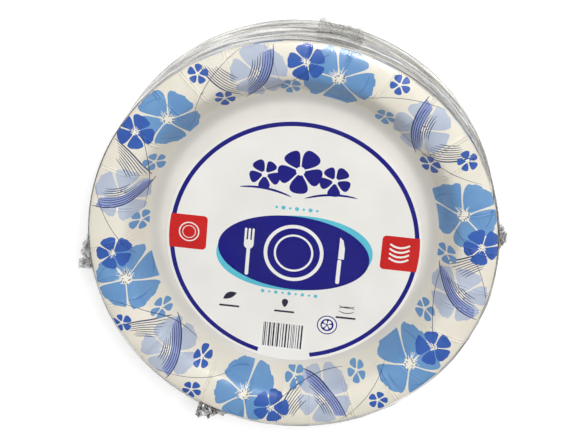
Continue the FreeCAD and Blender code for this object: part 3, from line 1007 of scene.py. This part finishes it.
# %% [markdown]
# ## Small pictures and stripes
# Below the oval the card has a row of small signs and a block of stripes. A leaf, a drop and waves, each
# over a plain bar, give the row its scale and rhythm. The stripes could have one width, but that looks like
# a fence, so the seeded generator picks their widths and gaps from short lists.

# %% Small pictures and stripes
PICTURE_BAR = (4.6, 0.45, 0.4)
BAR_HEIGHT = -33.6
STRIPE_WIDTHS, STRIPE_GAPS = (0.28, 0.28, 0.5, 0.75), (0.3, 0.45, 0.7)


def small_pictures():
    """A leaf, a drop and waves, each over a short plain bar."""
    shapes = []
    left = bent_line((-29.5, -30.5), (-23.5, -27.0), 1.9, 9)
    right = bent_line((-29.5, -30.5), (-23.5, -27.0), -1.1, 9)
    shapes.append(("label_ink", as_ring(np.concatenate([left, right[::-1]]))))
    shapes.append(("label_ink", rounded_bar((-26.5, BAR_HEIGHT), *PICTURE_BAR)))
    drop = []
    for angle in np.linspace(0, 2 * math.pi, 20)[:-1]:
        across = 1.35 * math.sin(angle) * (1 - 0.35 * math.cos(angle))
        drop.append((-1.5 + across, -29.4 - 2.0 * math.cos(angle)))
    shapes.append(("label_ink", as_ring(drop)))
    shapes.append(("label_ink", rounded_bar((-1.5, BAR_HEIGHT), *PICTURE_BAR)))
    for k in range(3):
        line = bent_line((23.0, -27.8 - 1.3 * k), (30.0, -27.8 - 1.3 * k), 0.9 if k % 2 else -0.9, 9)
        shapes.append(("label_ink", stroke(line, 0.4, 0.6)))
    shapes.append(("label_ink", rounded_bar((26.5, BAR_HEIGHT), *PICTURE_BAR)))
    return shapes


def stripes(centre, width, tall):
    """A block of plain upright stripes of random widths."""
    shapes = [("label_white", rounded_bar(centre, width / 2 + 1.2, tall / 2 + 1.0, 0.4))]
    x = centre[0] - width / 2
    while x < centre[0] + width / 2 - 0.4:
        bar = chance.choice(STRIPE_WIDTHS)
        shapes.append(("label_ink", rounded_bar((x + bar / 2, centre[1]), bar / 2, tall / 2, 0.05, 2)))
        x += bar + chance.choice(STRIPE_GAPS)
    return shapes


print("the row of small pictures has", len(small_pictures()), "shapes")

# %% [markdown]
# ## The card's layout
# The ovals hold the tableware, three flowers stand above them with two stems, dots run above and below, and
# the seal and the stripes lie at the foot. Every place is a point on the card, read off the photograph with
# the fitted camera, so a list of calls in painter's order says it most plainly.

# %% Lay out the card
CARD_TURN = math.radians(-5.7)
OVAL_MIDDLE, SEAL_MIDDLE = (0.3, -5.0), (18.5, -38.0)
CUTLERY_SCALE = 1.45


def card_ornament():
    """Every outline of the card, level and about its middle, in painter's order."""
    shapes = [("label_navy", card_ring())]
    shapes += [("label_red", tab(side)) for side in (-1, 1)]
    shapes.append(("label_teal", oval((0.6, -5.1), 35.0, 17.9, math.radians(5.5))))
    shapes.append(("label_navy", oval(OVAL_MIDDLE, 34.0, 17.4, math.radians(-1.5))))
    shapes += plate_picture(OVAL_MIDDLE, 13.4, "label_white", "label_navy")
    shapes += fork(-20.0, -5.8, CUTLERY_SCALE)
    shapes += knife(21.0, -5.6, CUTLERY_SCALE)
    shapes += plate_picture((-47.0, 0.0), 4.6, "label_white", "label_red")
    for k in range(4):
        y = -3.3 + 2.2 * k
        line = bent_line((42.6, y + 0.9), (51.4, y + 0.9), -1.5, 9)
        shapes.append(("label_white", stroke(line, 0.95, 0.85)))
    for x, y, size in ((-15.5, 30.5, 7.0), (0.0, 33.5, 10.0), (15.5, 30.5, 7.0)):
        centre = np.array([x, y])
        shapes += blossom(centre, size, 0.5 * math.pi, "label_navy", 0.7, 5.0)
        shapes.append(("label_white", disc(centre, 0.2 * size, 14)))
    for side in (-1, 1):
        line = bent_line((side * 3.0, 21.2), (side * 26.0, 23.6), side * 1.6, 15)
        shapes.append(("label_navy", stroke(line, 1.1, 0.2)))
    for k in range(7):
        shapes.append(("label_teal", disc((-9.0 + 3.0 * k, 15.9), 0.95 if k % 2 else 0.6, 12)))
    for k in range(9):
        shapes.append(("label_teal", disc((-12.0 + 3.0 * k, -24.6), 0.85 if k % 2 == 0 else 0.55, 12)))
    shapes += small_pictures()
    shapes += stripes((-1.2, -45.4), 18.0, 11.6)
    shapes.append(("label_navy", disc(SEAL_MIDDLE, 4.6, 36)))
    shapes.append(("label_white", disc(SEAL_MIDDLE, 4.1, 36)))
    shapes.append(("label_navy", disc(SEAL_MIDDLE, 3.0, 30)))
    shapes += blossom(np.array(SEAL_MIDDLE), 2.4, 0.3, "label_white", 0.35, 5.0)
    return shapes


print("the card is turned by", round(math.degrees(CARD_TURN), 1), "degrees")

# %% [markdown]
# ## The card itself
# The card is a die-cut disc that leans in the dish, with one edge on the wall, and its free edge has begun
# to curl. A cloth simulation could bend it, but a card hardly sags, so a tilted plane with a small lift at
# the edge is closer. The frame says how far it climbs and where its middle is.

# %% Make the card
card_low, card_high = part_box("label_card")
CARD_RADIUS = (card_high.x - card_low.x) / 2 / MM
CARD_THICKNESS = 0.25
CARD_CURL, CURL_START = 0.9, 0.62
CARD_RINGS, CARD_SPOKES, CARD_SIDES = (10, 20, 30, 40, 50), 48, 240
card_middle = np.array([(card_low.x + card_high.x) / 2, (card_low.y + card_high.y) / 2]) / MM
card_climb = (card_high.z - card_low.z) / MM - CARD_THICKNESS
card_centre_height = card_low.z / MM + card_climb / 2 + CARD_THICKNESS


def card_height(flat):
    """The card's upper face: a plane that climbs towards -Y, with a faint curl at its free edge."""
    away = (flat[:, 1] - card_middle[1]) / CARD_RADIUS
    curl = np.clip((-away - CURL_START) / (1 - CURL_START), 0, 1) ** 2
    return card_centre_height - away * card_climb / 2 + CARD_CURL * curl


card_shapes = [(ink, turned(shape, CARD_TURN) + card_middle) for ink, shape in card_ornament()]
card_points = []
for radius in CARD_RINGS:
    card_points += [card_middle + polar(2 * math.pi * k / CARD_SPOKES, radius) for k in range(CARD_SPOKES)]
card_edge = circle(CARD_RADIUS, CARD_SIDES) + card_middle
card_flat, card_faces, card_inks = inlay(card_edge, card_shapes, None, card_points)
CARD_INKS = {
    "ground": ("label_stock", rgb(235, 233, 228), rgb(231, 229, 223)),
    "label_white": ("label_white_ink", rgb(238, 237, 233), rgb(234, 232, 227)),
    "label_navy": ("label_navy_ink", rgb(18, 15, 126), rgb(14, 11, 114)),
    "label_teal": ("label_turquoise_ink", rgb(98, 196, 214), rgb(86, 184, 204)),
    "label_red": ("label_red_ink", rgb(206, 30, 26), rgb(194, 24, 22)),
    "label_ink": ("label_dark_ink", rgb(44, 42, 62), rgb(36, 34, 54)),
}
card_names = list(CARD_INKS)
card_materials = [board_finish(*CARD_INKS[ink], 0.32, 0.02) for ink in card_names]
card = make_board(
    "printed_card", card_flat, card_faces, card_height, card_height, CARD_THICKNESS,
    card_materials, [card_names.index(ink) for ink in card_inks], 0,
)
seat(card, "label_card")
print("card:", len(card.data.polygons), "triangles, climbs", round(card_climb, 2))

# %% [markdown]
# ## The shrink film
# The film is a bag that heat has shrunk on to the stack. It is taut and nearly invisible over the dish.
# Round the side it has spare width, so it lies in many level folds. A cloth simulation could shrink it,
# but the folds are finer than a simulation would reach in time, so they are heights from noise that is
# stretched along the side. The skin is closed and has no thickness, so light passes it only once. Its
# section comes first, as points from the middle of the underside, up the side, to the middle of the top.

# %% The film's section
FILM_SIDE, UNDER_BEND = 89.45, 0.7
UNDER_EDGE, UNDER_HEIGHT, FILM_GROUND = 60.0, 0.12, 0.02
FILM_STAND_OFF, LIP_STAND_OFF = 0.16, 0.55
SIDE_ROWS = 96
film_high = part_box("shrink_film")[1]
stack_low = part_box(BOTTOM_PLATE)[0].z / MM
lowest_lip = stack_low + SECTION[-1][1] - BOARD
highest_lip = top_base + SECTION[-1][1]
FILM_TOP = film_high.z / MM - 0.03


def film_profile():
    """Points (radius, height, folds) of the film's section. Folds says how freely it may wrinkle there."""
    profile = [(radius, FILM_GROUND, 0.0) for radius in (0.001, 20.0, 40.0, 56.0)]
    profile.append((UNDER_EDGE, UNDER_HEIGHT, 0.0))
    corner = FILM_SIDE - UNDER_BEND
    for share in np.linspace(0.1, 1.0, 12):
        radius = UNDER_EDGE + (corner - UNDER_EDGE) * share
        profile.append((radius, UNDER_HEIGHT + (lowest_lip - 1.9) * share ** 1.04, 0.25 * share))
    for a in (math.radians(30), math.radians(60)):
        radius, height = corner + UNDER_BEND * math.sin(a), lowest_lip - 1.6 + 0.8 * (1 - math.cos(a))
        profile.append((radius, height, 0.5))
    for height in np.linspace(lowest_lip - 0.4, highest_lip - 0.6, SIDE_ROWS):
        profile.append((FILM_SIDE, height, 1.0))
    rim = SECTION[SECTION[:, 0] > 81.7]
    for radius, height in rim[::-3]:
        slope = ease(np.array(radius), 89.2, 84.0)
        radius += LIP_STAND_OFF * (1 - slope)
        profile.append((radius, top_base + height + FILM_STAND_OFF, 0.25))
    crest = top_base + DEPTH + FILM_STAND_OFF
    for radius in (80.0, 78.0, 76.0, 74.0, 72.0, 70.0, 67.0, 64.0, 60.0, 55.0, 48.0, 38.0, 26.0, 12.0, 0.001):
        profile.append((radius, crest, 0.0))
    return profile


print("the film's section has", len(film_profile()), "points")

# %% [markdown]
# ## Where the corners stand
# A flat bag has four corners that a round stack doesn't fill, and heat draws each one in to a small crumpled
# ear. Each ear here has a ragged outline of bearings, in degrees round the pack, and reaches, in millimetres
# from its side. The points are measured in the photograph with the fitted camera, because a formula would
# miss the torn look. The skin needs them too, since each ear pulls it into a low tent.

# %% Outlines of the ears
EAR_DROP = 19.0
EAR_HEIGHT = highest_lip - EAR_DROP
EARS = {
    "left": (
        (182.0, 1.5), (182.6, 4.9), (184.1, 5.8), (185.5, 8.2), (186.8, 9.0), (188.3, 9.3),
        (189.0, 7.6), (189.6, 10.4), (190.6, 11.9), (191.9, 12.0), (192.4, 8.0), (193.0, 1.0),
    ),
    "lower": (
        (241.9, 2.0), (242.5, 11.0), (243.0, 19.3), (243.9, 18.6), (245.2, 16.6), (246.3, 16.1),
        (247.8, 13.8), (249.6, 11.4), (252.5, 9.0), (255.5, 7.6), (258.0, 6.6), (259.0, 1.0),
    ),
    "right": (
        (353.2, 0.8), (354.7, 3.2), (356.3, 5.2), (357.8, 5.9), (358.9, 5.2), (360.6, 3.3), (362.2, 0.8),
    ),
    "upper": (
        (70.4, 0.8), (71.1, 4.0), (71.9, 6.6), (72.7, 5.0), (74.6, 6.2), (76.4, 5.8),
        (79.0, 4.6), (80.6, 5.4), (81.6, 6.6), (82.7, 5.4), (83.4, 0.8),
    ),
}
print("the ears stand out at a height of", round(EAR_HEIGHT, 1))

# %% [markdown]
# ## Folds and tents
# The folds are sharp ridges with round valleys between, and run level round the pack. One minus the size of
# a noise gives such ridges. Three of them, each finer than the last, are laid over one another, and a slow
# sway keeps the ridges from running dead straight. The bag is slacker on one side, so the folds are deeper.

# %% Folds of the skin
FOLD_DEPTH, SLACK_PULL = 0.8, 0.25
SLACK_SIDE = math.radians(-35)
TENT_SHARE, TENT_HALF_TURN, TENT_HALF_HEIGHT = 0.16, 0.085, 6.5
RIM_PULL, RIM_LIFT, RIM_HALF_TURN = 0.12, 0.02, 0.2


def folded(angle, height):
    """Depth of the level folds at a place on the side, from 0 to 1."""
    x, y = math.cos(angle), math.sin(angle)
    sway = noise.noise((x * 1.6, y * 1.6, 4.0))
    broad = 1 - 2 * abs(noise.noise((x * 1.9 + 3, y * 1.9, height * 0.15 + sway)))
    sharp = 1 - 2 * abs(noise.noise((x * 3.8 + 5, y * 3.8, height * 0.34 + 1.6 * sway)))
    fine = 1 - 2 * abs(noise.noise((x * 8.0, y * 8.0 + 9, height * 0.8 + 3 * sway)))
    return max(0.0, 0.42 * broad + 0.36 * sharp + 0.22 * fine)


def make_skin(name, profile, columns, move):
    """A closed skin round the axis. move(angle, radius, height, folds) gives each point's place."""
    points = []
    for radius, height, folds in profile[1:-1]:
        for k in range(columns):
            points.append(move(2 * math.pi * k / columns, radius, height, folds))
    bottom, top = len(points), len(points) + 1
    points += [(0, 0, profile[0][1]), (0, 0, profile[-1][1])]
    faces = []
    rings = len(profile) - 2
    for k in range(columns):
        after = (k + 1) % columns
        faces.append((bottom, after, k))
        last = (rings - 1) * columns
        faces.append((top, last + k, last + after))
        for ring in range(rings - 1):
            a, b = ring * columns, (ring + 1) * columns
            faces.append((a + k, a + after, b + after, b + k))
    return add_piece(name, points, faces)


def turn_between(first, second):
    return (first - second + math.pi) % (2 * math.pi) - math.pi


def film_place(angle, radius, height, folds):
    """Where a point of the smooth bag comes to lie: folds push it out, and corners draw it into tents."""
    if folds:
        slack = 0.5 + 0.5 * math.cos(angle - SLACK_SIDE)
        depth = FOLD_DEPTH * folded(angle, height) * (0.35 + 0.75 * slack)
        radius += folds * (depth - SLACK_PULL * (1 - slack))
        for outline in EARS.values():
            reach = max(far for _, far in outline)
            turn = turn_between(angle, math.radians((outline[0][0] + outline[-1][0]) / 2))
            aside, above = turn / TENT_HALF_TURN, (height - EAR_HEIGHT) / TENT_HALF_HEIGHT
            radius += TENT_SHARE * reach * math.exp(-(aside ** 2)) * math.exp(-(above ** 2))
            if height > highest_lip - 0.5:
                near = math.exp(-((turn / RIM_HALF_TURN) ** 2))
                pull = near * abs(math.sin(46 * turn + 2 * math.sin(19 * turn)))
                radius += RIM_PULL * pull
                height += RIM_LIFT * pull
    return radius * math.cos(angle), radius * math.sin(angle), min(height, FILM_TOP)


print("the ridges are at most", FOLD_DEPTH * 1.1, "high")

# %% [markdown]
# ## The skin
# With the section and the folds in hand, the skin is a lathed shape whose points are then moved. A Screw
# modifier would lathe it too, but the points have to be known one by one to be folded. Each column runs
# from pole to pole, and the folds lie across the columns, so the rows up the side are close together.

# %% Film skin
COLUMNS = 480

film = make_skin("film_skin", film_profile(), COLUMNS, film_place)
print("film skin:", len(film.data.polygons), "faces")

# %% [markdown]
# ## Gathered corners
# Heat bunches each corner of the bag into a stiff, crumpled ear of many layers. Crumpled sheets could come
# from a cloth simulation, but the torn outline has to stay where it was measured. So each ear is three
# layers of small pleats that run out to that outline, and noise crumples each layer in its own way. The ears
# keep a map of their layers spread out flat, so that the finish can follow the film and not the space.
# The knotted corner of the upper ear hangs down a little.

# %% Ears
EAR_LAYERS = 3
EAR_COLUMNS, EAR_ROWS = 40, 12
DROOP_EAR, DROOP_AT, DROOP_WIDTH, DROOP = "film_ear_upper", 81.8, 1.4, 6.0


def make_ear(name, outline):
    """Crumpled layers of pleats that run out from the side to the ragged outline (angle, reach)."""
    bearings, reaches = zip(*outline)
    points, faces, places = [], [], []
    for layer in range(EAR_LAYERS):
        first = len(points)
        for i in range(EAR_ROWS + 1):
            out = i / EAR_ROWS
            for j in range(EAR_COLUMNS + 1):
                bearing = bearings[0] + (bearings[-1] - bearings[0]) * j / EAR_COLUMNS
                ragged = noise.noise((bearing * 0.9 + 5 * layer, 2.0 * layer, 0.5))
                tip = np.interp(bearing, bearings, reaches) * (1 - 0.10 * layer + 0.12 * ragged)
                spot = (bearing * 0.8 + 3 * layer, out * 4, 0.3)
                jitter = noise.noise_vector(spot) + 0.7 * noise.noise_vector([2.3 * v for v in spot])
                turn = math.radians(bearing) + 0.010 * jitter.x * out
                radius = FILM_SIDE - 0.1 + (tip + 0.8 * min(0.0, jitter.y)) * out
                pleat = math.sin(bearing * 2.4 + 1.3 * layer) * 1.2 * (1 - 0.3 * out)
                lift = pleat + 1.8 * jitter.z * (0.3 + out) + (layer - 1) * 1.1 * (1 - 0.6 * out)
                if name == DROOP_EAR:
                    lift -= DROOP * out * math.exp(-(((bearing - DROOP_AT) / DROOP_WIDTH) ** 2))
                points.append((radius * math.cos(turn), radius * math.sin(turn), EAR_HEIGHT + lift))
                places.append((math.radians(bearing) * FILM_SIDE + (0.5 - layer) * out * tip, out * tip))
        row = EAR_COLUMNS + 1
        for i in range(EAR_ROWS):
            for j in range(EAR_COLUMNS):
                a = first + i * row + j
                faces += [(a, a + 1, a + row), (a + 1, a + row + 1, a + row)]
    piece = add_piece(name, points, faces, smooth=False)
    spread_out = piece.data.uv_layers.new(name="spread_out")
    corners = np.array(faces).ravel()
    spread_out.data.foreach_set("uv", (np.array(places)[corners] * MM).ravel())
    return piece


ears = {name: make_ear(f"film_ear_{name}", outline) for name, outline in EARS.items()}
print(len(ears), "gathered corners")

# %% [markdown]
# ## Clear film as a material
# Film this thin doesn't bend what is seen through it. It adds only mirror light, little when seen square
# on and much at a grazing angle, and a faint haze in its creases. Glass would need many light paths and
# darken the pack, so the shader is a bright metal whose Alpha is small square on and rises steeply
# edge on, by the fifth power of its turn. That is the same from both sides, so light gets out of the bag.
# Folded film also has light and dark streaks along its folds, painted into its colour: the dark ones are
# painted shade and dark reflections, the light ones the film's pale haze with painted highlights. Its haze
# thins where it is seen through square on, so that the plates' edges show behind it.

# %% The film's finish
MIRROR_POWER = 5.0


def arithmetic(tree, operation, first, second, third=None):
    """One step of arithmetic. The sum of a product is kept between 0 and 1, as Alpha has to be."""
    step = tree.nodes.new("ShaderNodeMath")
    step.operation = operation
    step.use_clamp = operation == "MULTIPLY_ADD"
    for socket, value in zip(step.inputs, (first, second, third)):
        if isinstance(value, (int, float)):
            socket.default_value = value
        elif value is not None:
            tree.links.new(value, socket)
    return step.outputs["Value"]


def film_finish(
    name, haze, strength, warm, cool, dark, roughness, stretch,
    metallic=1.0, contrast=0.2, space="Object", shade_lean=(0.0, 0.0), square_on=1.0,
):
    """Alpha grows from haze to one as the film turns edge on. Light and dark streaks lie in its folds, and
    the dark ones are painted shade and dark reflections. The lean pair says how many more of them are dark in
    the middle, and how many more again towards +X, a painted shade on that side. Square_on is the share of
    the haze that is left where the film is seen square on."""
    material, tree, shader = new_material(name)
    blotches = add_noise(tree, 1.0, 2.0, [0.45 * v for v in stretch], space)
    light = mix_colours(tree, spread(tree, blotches, 0, 1), cool, warm)
    streaks = add_noise(tree, 1.0, 5.0, stretch, space)
    # Painted shade: more streaks turn dark, and more again towards +X.
    if shade_lean[1]:
        where = tree.nodes.new("ShaderNodeTexCoord")
        sides = tree.nodes.new("ShaderNodeSeparateXYZ")
        tree.links.new(where.outputs["Object"], sides.inputs["Vector"])
        leaning = arithmetic(tree, "SUBTRACT", streaks, shade_lean[0])
        per_metre = -shade_lean[1] / (FILM_SIDE * MM)
        streaks = arithmetic(tree, "MULTIPLY_ADD", sides.outputs["X"], per_metre, leaning)
    # The dark streaks are painted shade and dark reflections in the folds.
    streaked = mix_colours(tree, spread(tree, streaks, 0, 1, contrast), dark, light)
    tree.links.new(streaked, shader.inputs["Base Color"])
    shader.inputs["Metallic"].default_value = metallic
    edge_on = tree.nodes.new("ShaderNodeLayerWeight")
    edge_on.inputs["Blend"].default_value = 0.5
    mirror = arithmetic(tree, "POWER", edge_on.outputs["Facing"], MIRROR_POWER)
    crease = add_noise(tree, 1.0, 5.0, [1.31 * v for v in stretch], space)
    clear = spread(tree, crease, haze * 0.2, haze * 1.8)
    if square_on < 1:
        rise = 1.5 * (1 - square_on)
        deeper = arithmetic(tree, "MULTIPLY_ADD", edge_on.outputs["Facing"], rise, square_on)
        clear = arithmetic(tree, "MULTIPLY", clear, deeper)
    tree.links.new(arithmetic(tree, "MULTIPLY_ADD", mirror, strength, clear), shader.inputs["Alpha"])
    uneven = spread(tree, add_noise(tree, 300), roughness * 0.6, roughness * 1.5)
    tree.links.new(uneven, shader.inputs["Roughness"])
    return material


print("where Facing is a half, the mirror part is", 0.5 ** MIRROR_POWER)

# %% [markdown]
# ## Taut and folded film
# The same film looks different where it lies taut and where it lies in folds: clear over the dish, hazy and
# streaked round the side. The streaks are stretched noise, far longer round the pack than up it, and their
# dark bands are painted shade, with more of them towards +X. The skin stays one piece, and its side faces
# simply take the second finish.

# %% Taut and folded film
FOLDED_BAND = 0.6

taut = film_finish(
    "taut_film", haze=0.03, strength=0.7, warm=rgb(250, 250, 250), cool=rgb(246, 248, 250),
    dark=rgb(240, 240, 240), roughness=0.10, stretch=(30, 30, 30),
)
# The folded film's dark streaks are painted shade, leaning darker towards +X.
folded_film = film_finish(
    "folded_film", haze=0.46, strength=0.9, warm=rgb(252, 247, 234), cool=rgb(214, 219, 230),
    dark=rgb(64, 62, 52), roughness=0.22, stretch=(24, 24, 360),
    metallic=0.5, contrast=0.06, shade_lean=(0.023, 0.03), square_on=0.45,
)
film.data.materials.append(taut)
film.data.materials.append(folded_film)
for face in film.data.polygons:
    middle = face.center
    if math.hypot(middle.x, middle.y) > (FILM_SIDE - FOLDED_BAND) * MM and middle.z < highest_lip * MM:
        face.material_index = 1
seat(film, "shrink_film")
side_faces = sum(face.material_index for face in film.data.polygons)
print(side_faces, "faces of the skin lie in folds")

# %% [markdown]
# ## Crumpled film
# An ear is the same film again, bunched so tightly that it glitters in small light and dark shards. A glossy
# clear material would show that only by luck, so the shards are painted: a fine noise on the ear's own flat
# map gives painted glints and painted dark reflections. Each corner has its own haze, dark tone, roughness
# and contrast, and its dark tone is the painted shade in its shards.

# %% Gathered corners
# Per corner: haze, dark tone, roughness and contrast; the dark tone is the painted shade and dark reflection
# in the shards.
GATHERED = {
    "left": (0.48, rgb(100, 100, 96), 0.26, 0.08),
    "lower": (0.76, rgb(6, 6, 5), 0.26, 0.06),
    "right": (0.54, rgb(50, 50, 48), 0.26, 0.08),
    "upper": (0.24, rgb(150, 148, 138), 0.42, 0.14),
}

for name, ear in ears.items():
    haze, dark, roughness, contrast = GATHERED[name]
    # Each ear's light and dark shards are painted glints and painted shade.
    gathered = film_finish(
        f"gathered_film_{name}", haze=haze, strength=0.9, warm=rgb(250, 250, 246), cool=rgb(224, 226, 228),
        dark=dark, roughness=roughness, stretch=(900, 280, 1),
        metallic=0.35, contrast=contrast, space="UV",
    )
    ear.data.materials.append(gathered)
    seat(ear, "shrink_film")
print(len(GATHERED), "finishes of crumpled film")

# %% [markdown]
# ## The floor
# The pack lies on a plain pale sheet, as in a studio. A white plane alone would turn grey away from the
# lights, and brighter lights would wash out the plates. So the sheet also glows faintly, like a light
# table, which keeps it pale and leaves only a soft shadow round the pack.

# %% Floor
FLOOR_SIZE, FLOOR_GLOW = 4.0, 0.38

bpy.ops.mesh.primitive_grid_add(x_subdivisions=8, y_subdivisions=8, size=FLOOR_SIZE, location=(0, 0, 0))
floor = bpy.context.object
floor.name = "studio_floor"
floor_material, floor_tree, floor_shader = new_material("pale_sheet")
floor_share = spread(floor_tree, add_noise(floor_tree, 3), 0, 1)
floor_colour = mix_colours(floor_tree, floor_share, rgb(230, 230, 230), rgb(227, 227, 227))
floor_tree.links.new(floor_colour, floor_shader.inputs["Base Color"])
floor_shader.inputs["Roughness"].default_value = 0.9
floor_shader.inputs["Specular IOR Level"].default_value = 0.1
floor_shader.inputs["Emission Color"].default_value = (1.0, 1.0, 1.0, 1.0)
floor_shader.inputs["Emission Strength"].default_value = FLOOR_GLOW
floor.data.materials.append(floor_material)
print("floor sheet:", FLOOR_SIZE, "m wide")

# %% [markdown]
# ## The lights
# One large soft light stands beyond the upper edge, as in the photograph, so the far wall of the dish is in
# shade and the near wall bright. Two weak fills keep the shadows open. A sun lamp would give hard edges, and
# a small lamp a hot spot on the film, so all three are wide discs. The world is a dome that is brighter
# overhead, which the film mirrors as a soft sheen.

# %% Lights
SKY_STRENGTH = 0.36
SKY_TONES = [(0.05, (0.10, 0.10, 0.10, 1.0)), (0.75, (0.62, 0.62, 0.62, 1.0))]


def soft_light(name, azimuth, elevation, distance, size, watts):
    """A round soft light, at an azimuth and elevation in degrees, that looks at the pack."""
    data = bpy.data.lights.new(name, "AREA")
    data.shape = "DISK"
    data.size = size
    data.energy = watts
    lamp = bpy.data.objects.new(name, data)
    a, e = math.radians(azimuth), math.radians(elevation)
    lamp.location = Vector((math.cos(a) * math.cos(e), math.sin(a) * math.cos(e), math.sin(e))) * distance
    lamp.rotation_euler = (-lamp.location).to_track_quat("-Z", "Y").to_euler()
    bpy.context.scene.collection.objects.link(lamp)
    return lamp


soft_light("key_softbox", azimuth=68, elevation=66, distance=1.6, size=0.7, watts=22.0)
soft_light("left_fill", azimuth=190, elevation=40, distance=1.8, size=1.0, watts=1.2)
soft_light("right_fill", azimuth=340, elevation=45, distance=1.8, size=1.0, watts=1.6)
world = bpy.data.worlds.new("studio")
bpy.context.scene.world = world
world.use_nodes = True
sky = world.node_tree
direction = sky.nodes.new("ShaderNodeTexCoord")
axes = sky.nodes.new("ShaderNodeSeparateXYZ")
sky.links.new(direction.outputs["Generated"], axes.inputs["Vector"])
dome = colour_ramp(sky, axes.outputs["Z"], SKY_TONES, "LINEAR")
sky.links.new(dome, sky.nodes["Background"].inputs["Color"])
sky.nodes["Background"].inputs["Strength"].default_value = SKY_STRENGTH
bpy.context.scene.view_settings.view_transform = "Standard"

# %% [markdown]
# ## The camera
# The photograph looks at the plates from about twenty degrees off their axis. A camera could be set by eye,
# but its place was fitted to the rim and the print's inner edge, which are circles of known size. It is
# given here as a turn and as an offset from the middle of the top lip, in the turned axes.

# %% Camera
SENSOR_WIDTH, LENS = 36.0, 85.71
VIEW_TILT = math.radians(20.35)
VIEW_AXIS = Vector((-0.981, 0.1915, 0.0)).normalized()
VIEW_OFFSET = Vector((1.0, 9.6, 608.8))
view_turn = Matrix.Rotation(VIEW_TILT, 3, VIEW_AXIS)
camera_data = bpy.data.cameras.new("camera")
camera_data.sensor_width = SENSOR_WIDTH
camera_data.lens = LENS
camera = bpy.data.objects.new("camera", camera_data)
top_lip = Vector((0, 0, highest_lip))
camera.matrix_world = Matrix.Translation((top_lip + view_turn @ VIEW_OFFSET) * MM) @ view_turn.to_4x4()
bpy.context.scene.collection.objects.link(camera)
bpy.context.scene.camera = camera
print("camera at", [round(v, 4) for v in camera.matrix_world.translation])
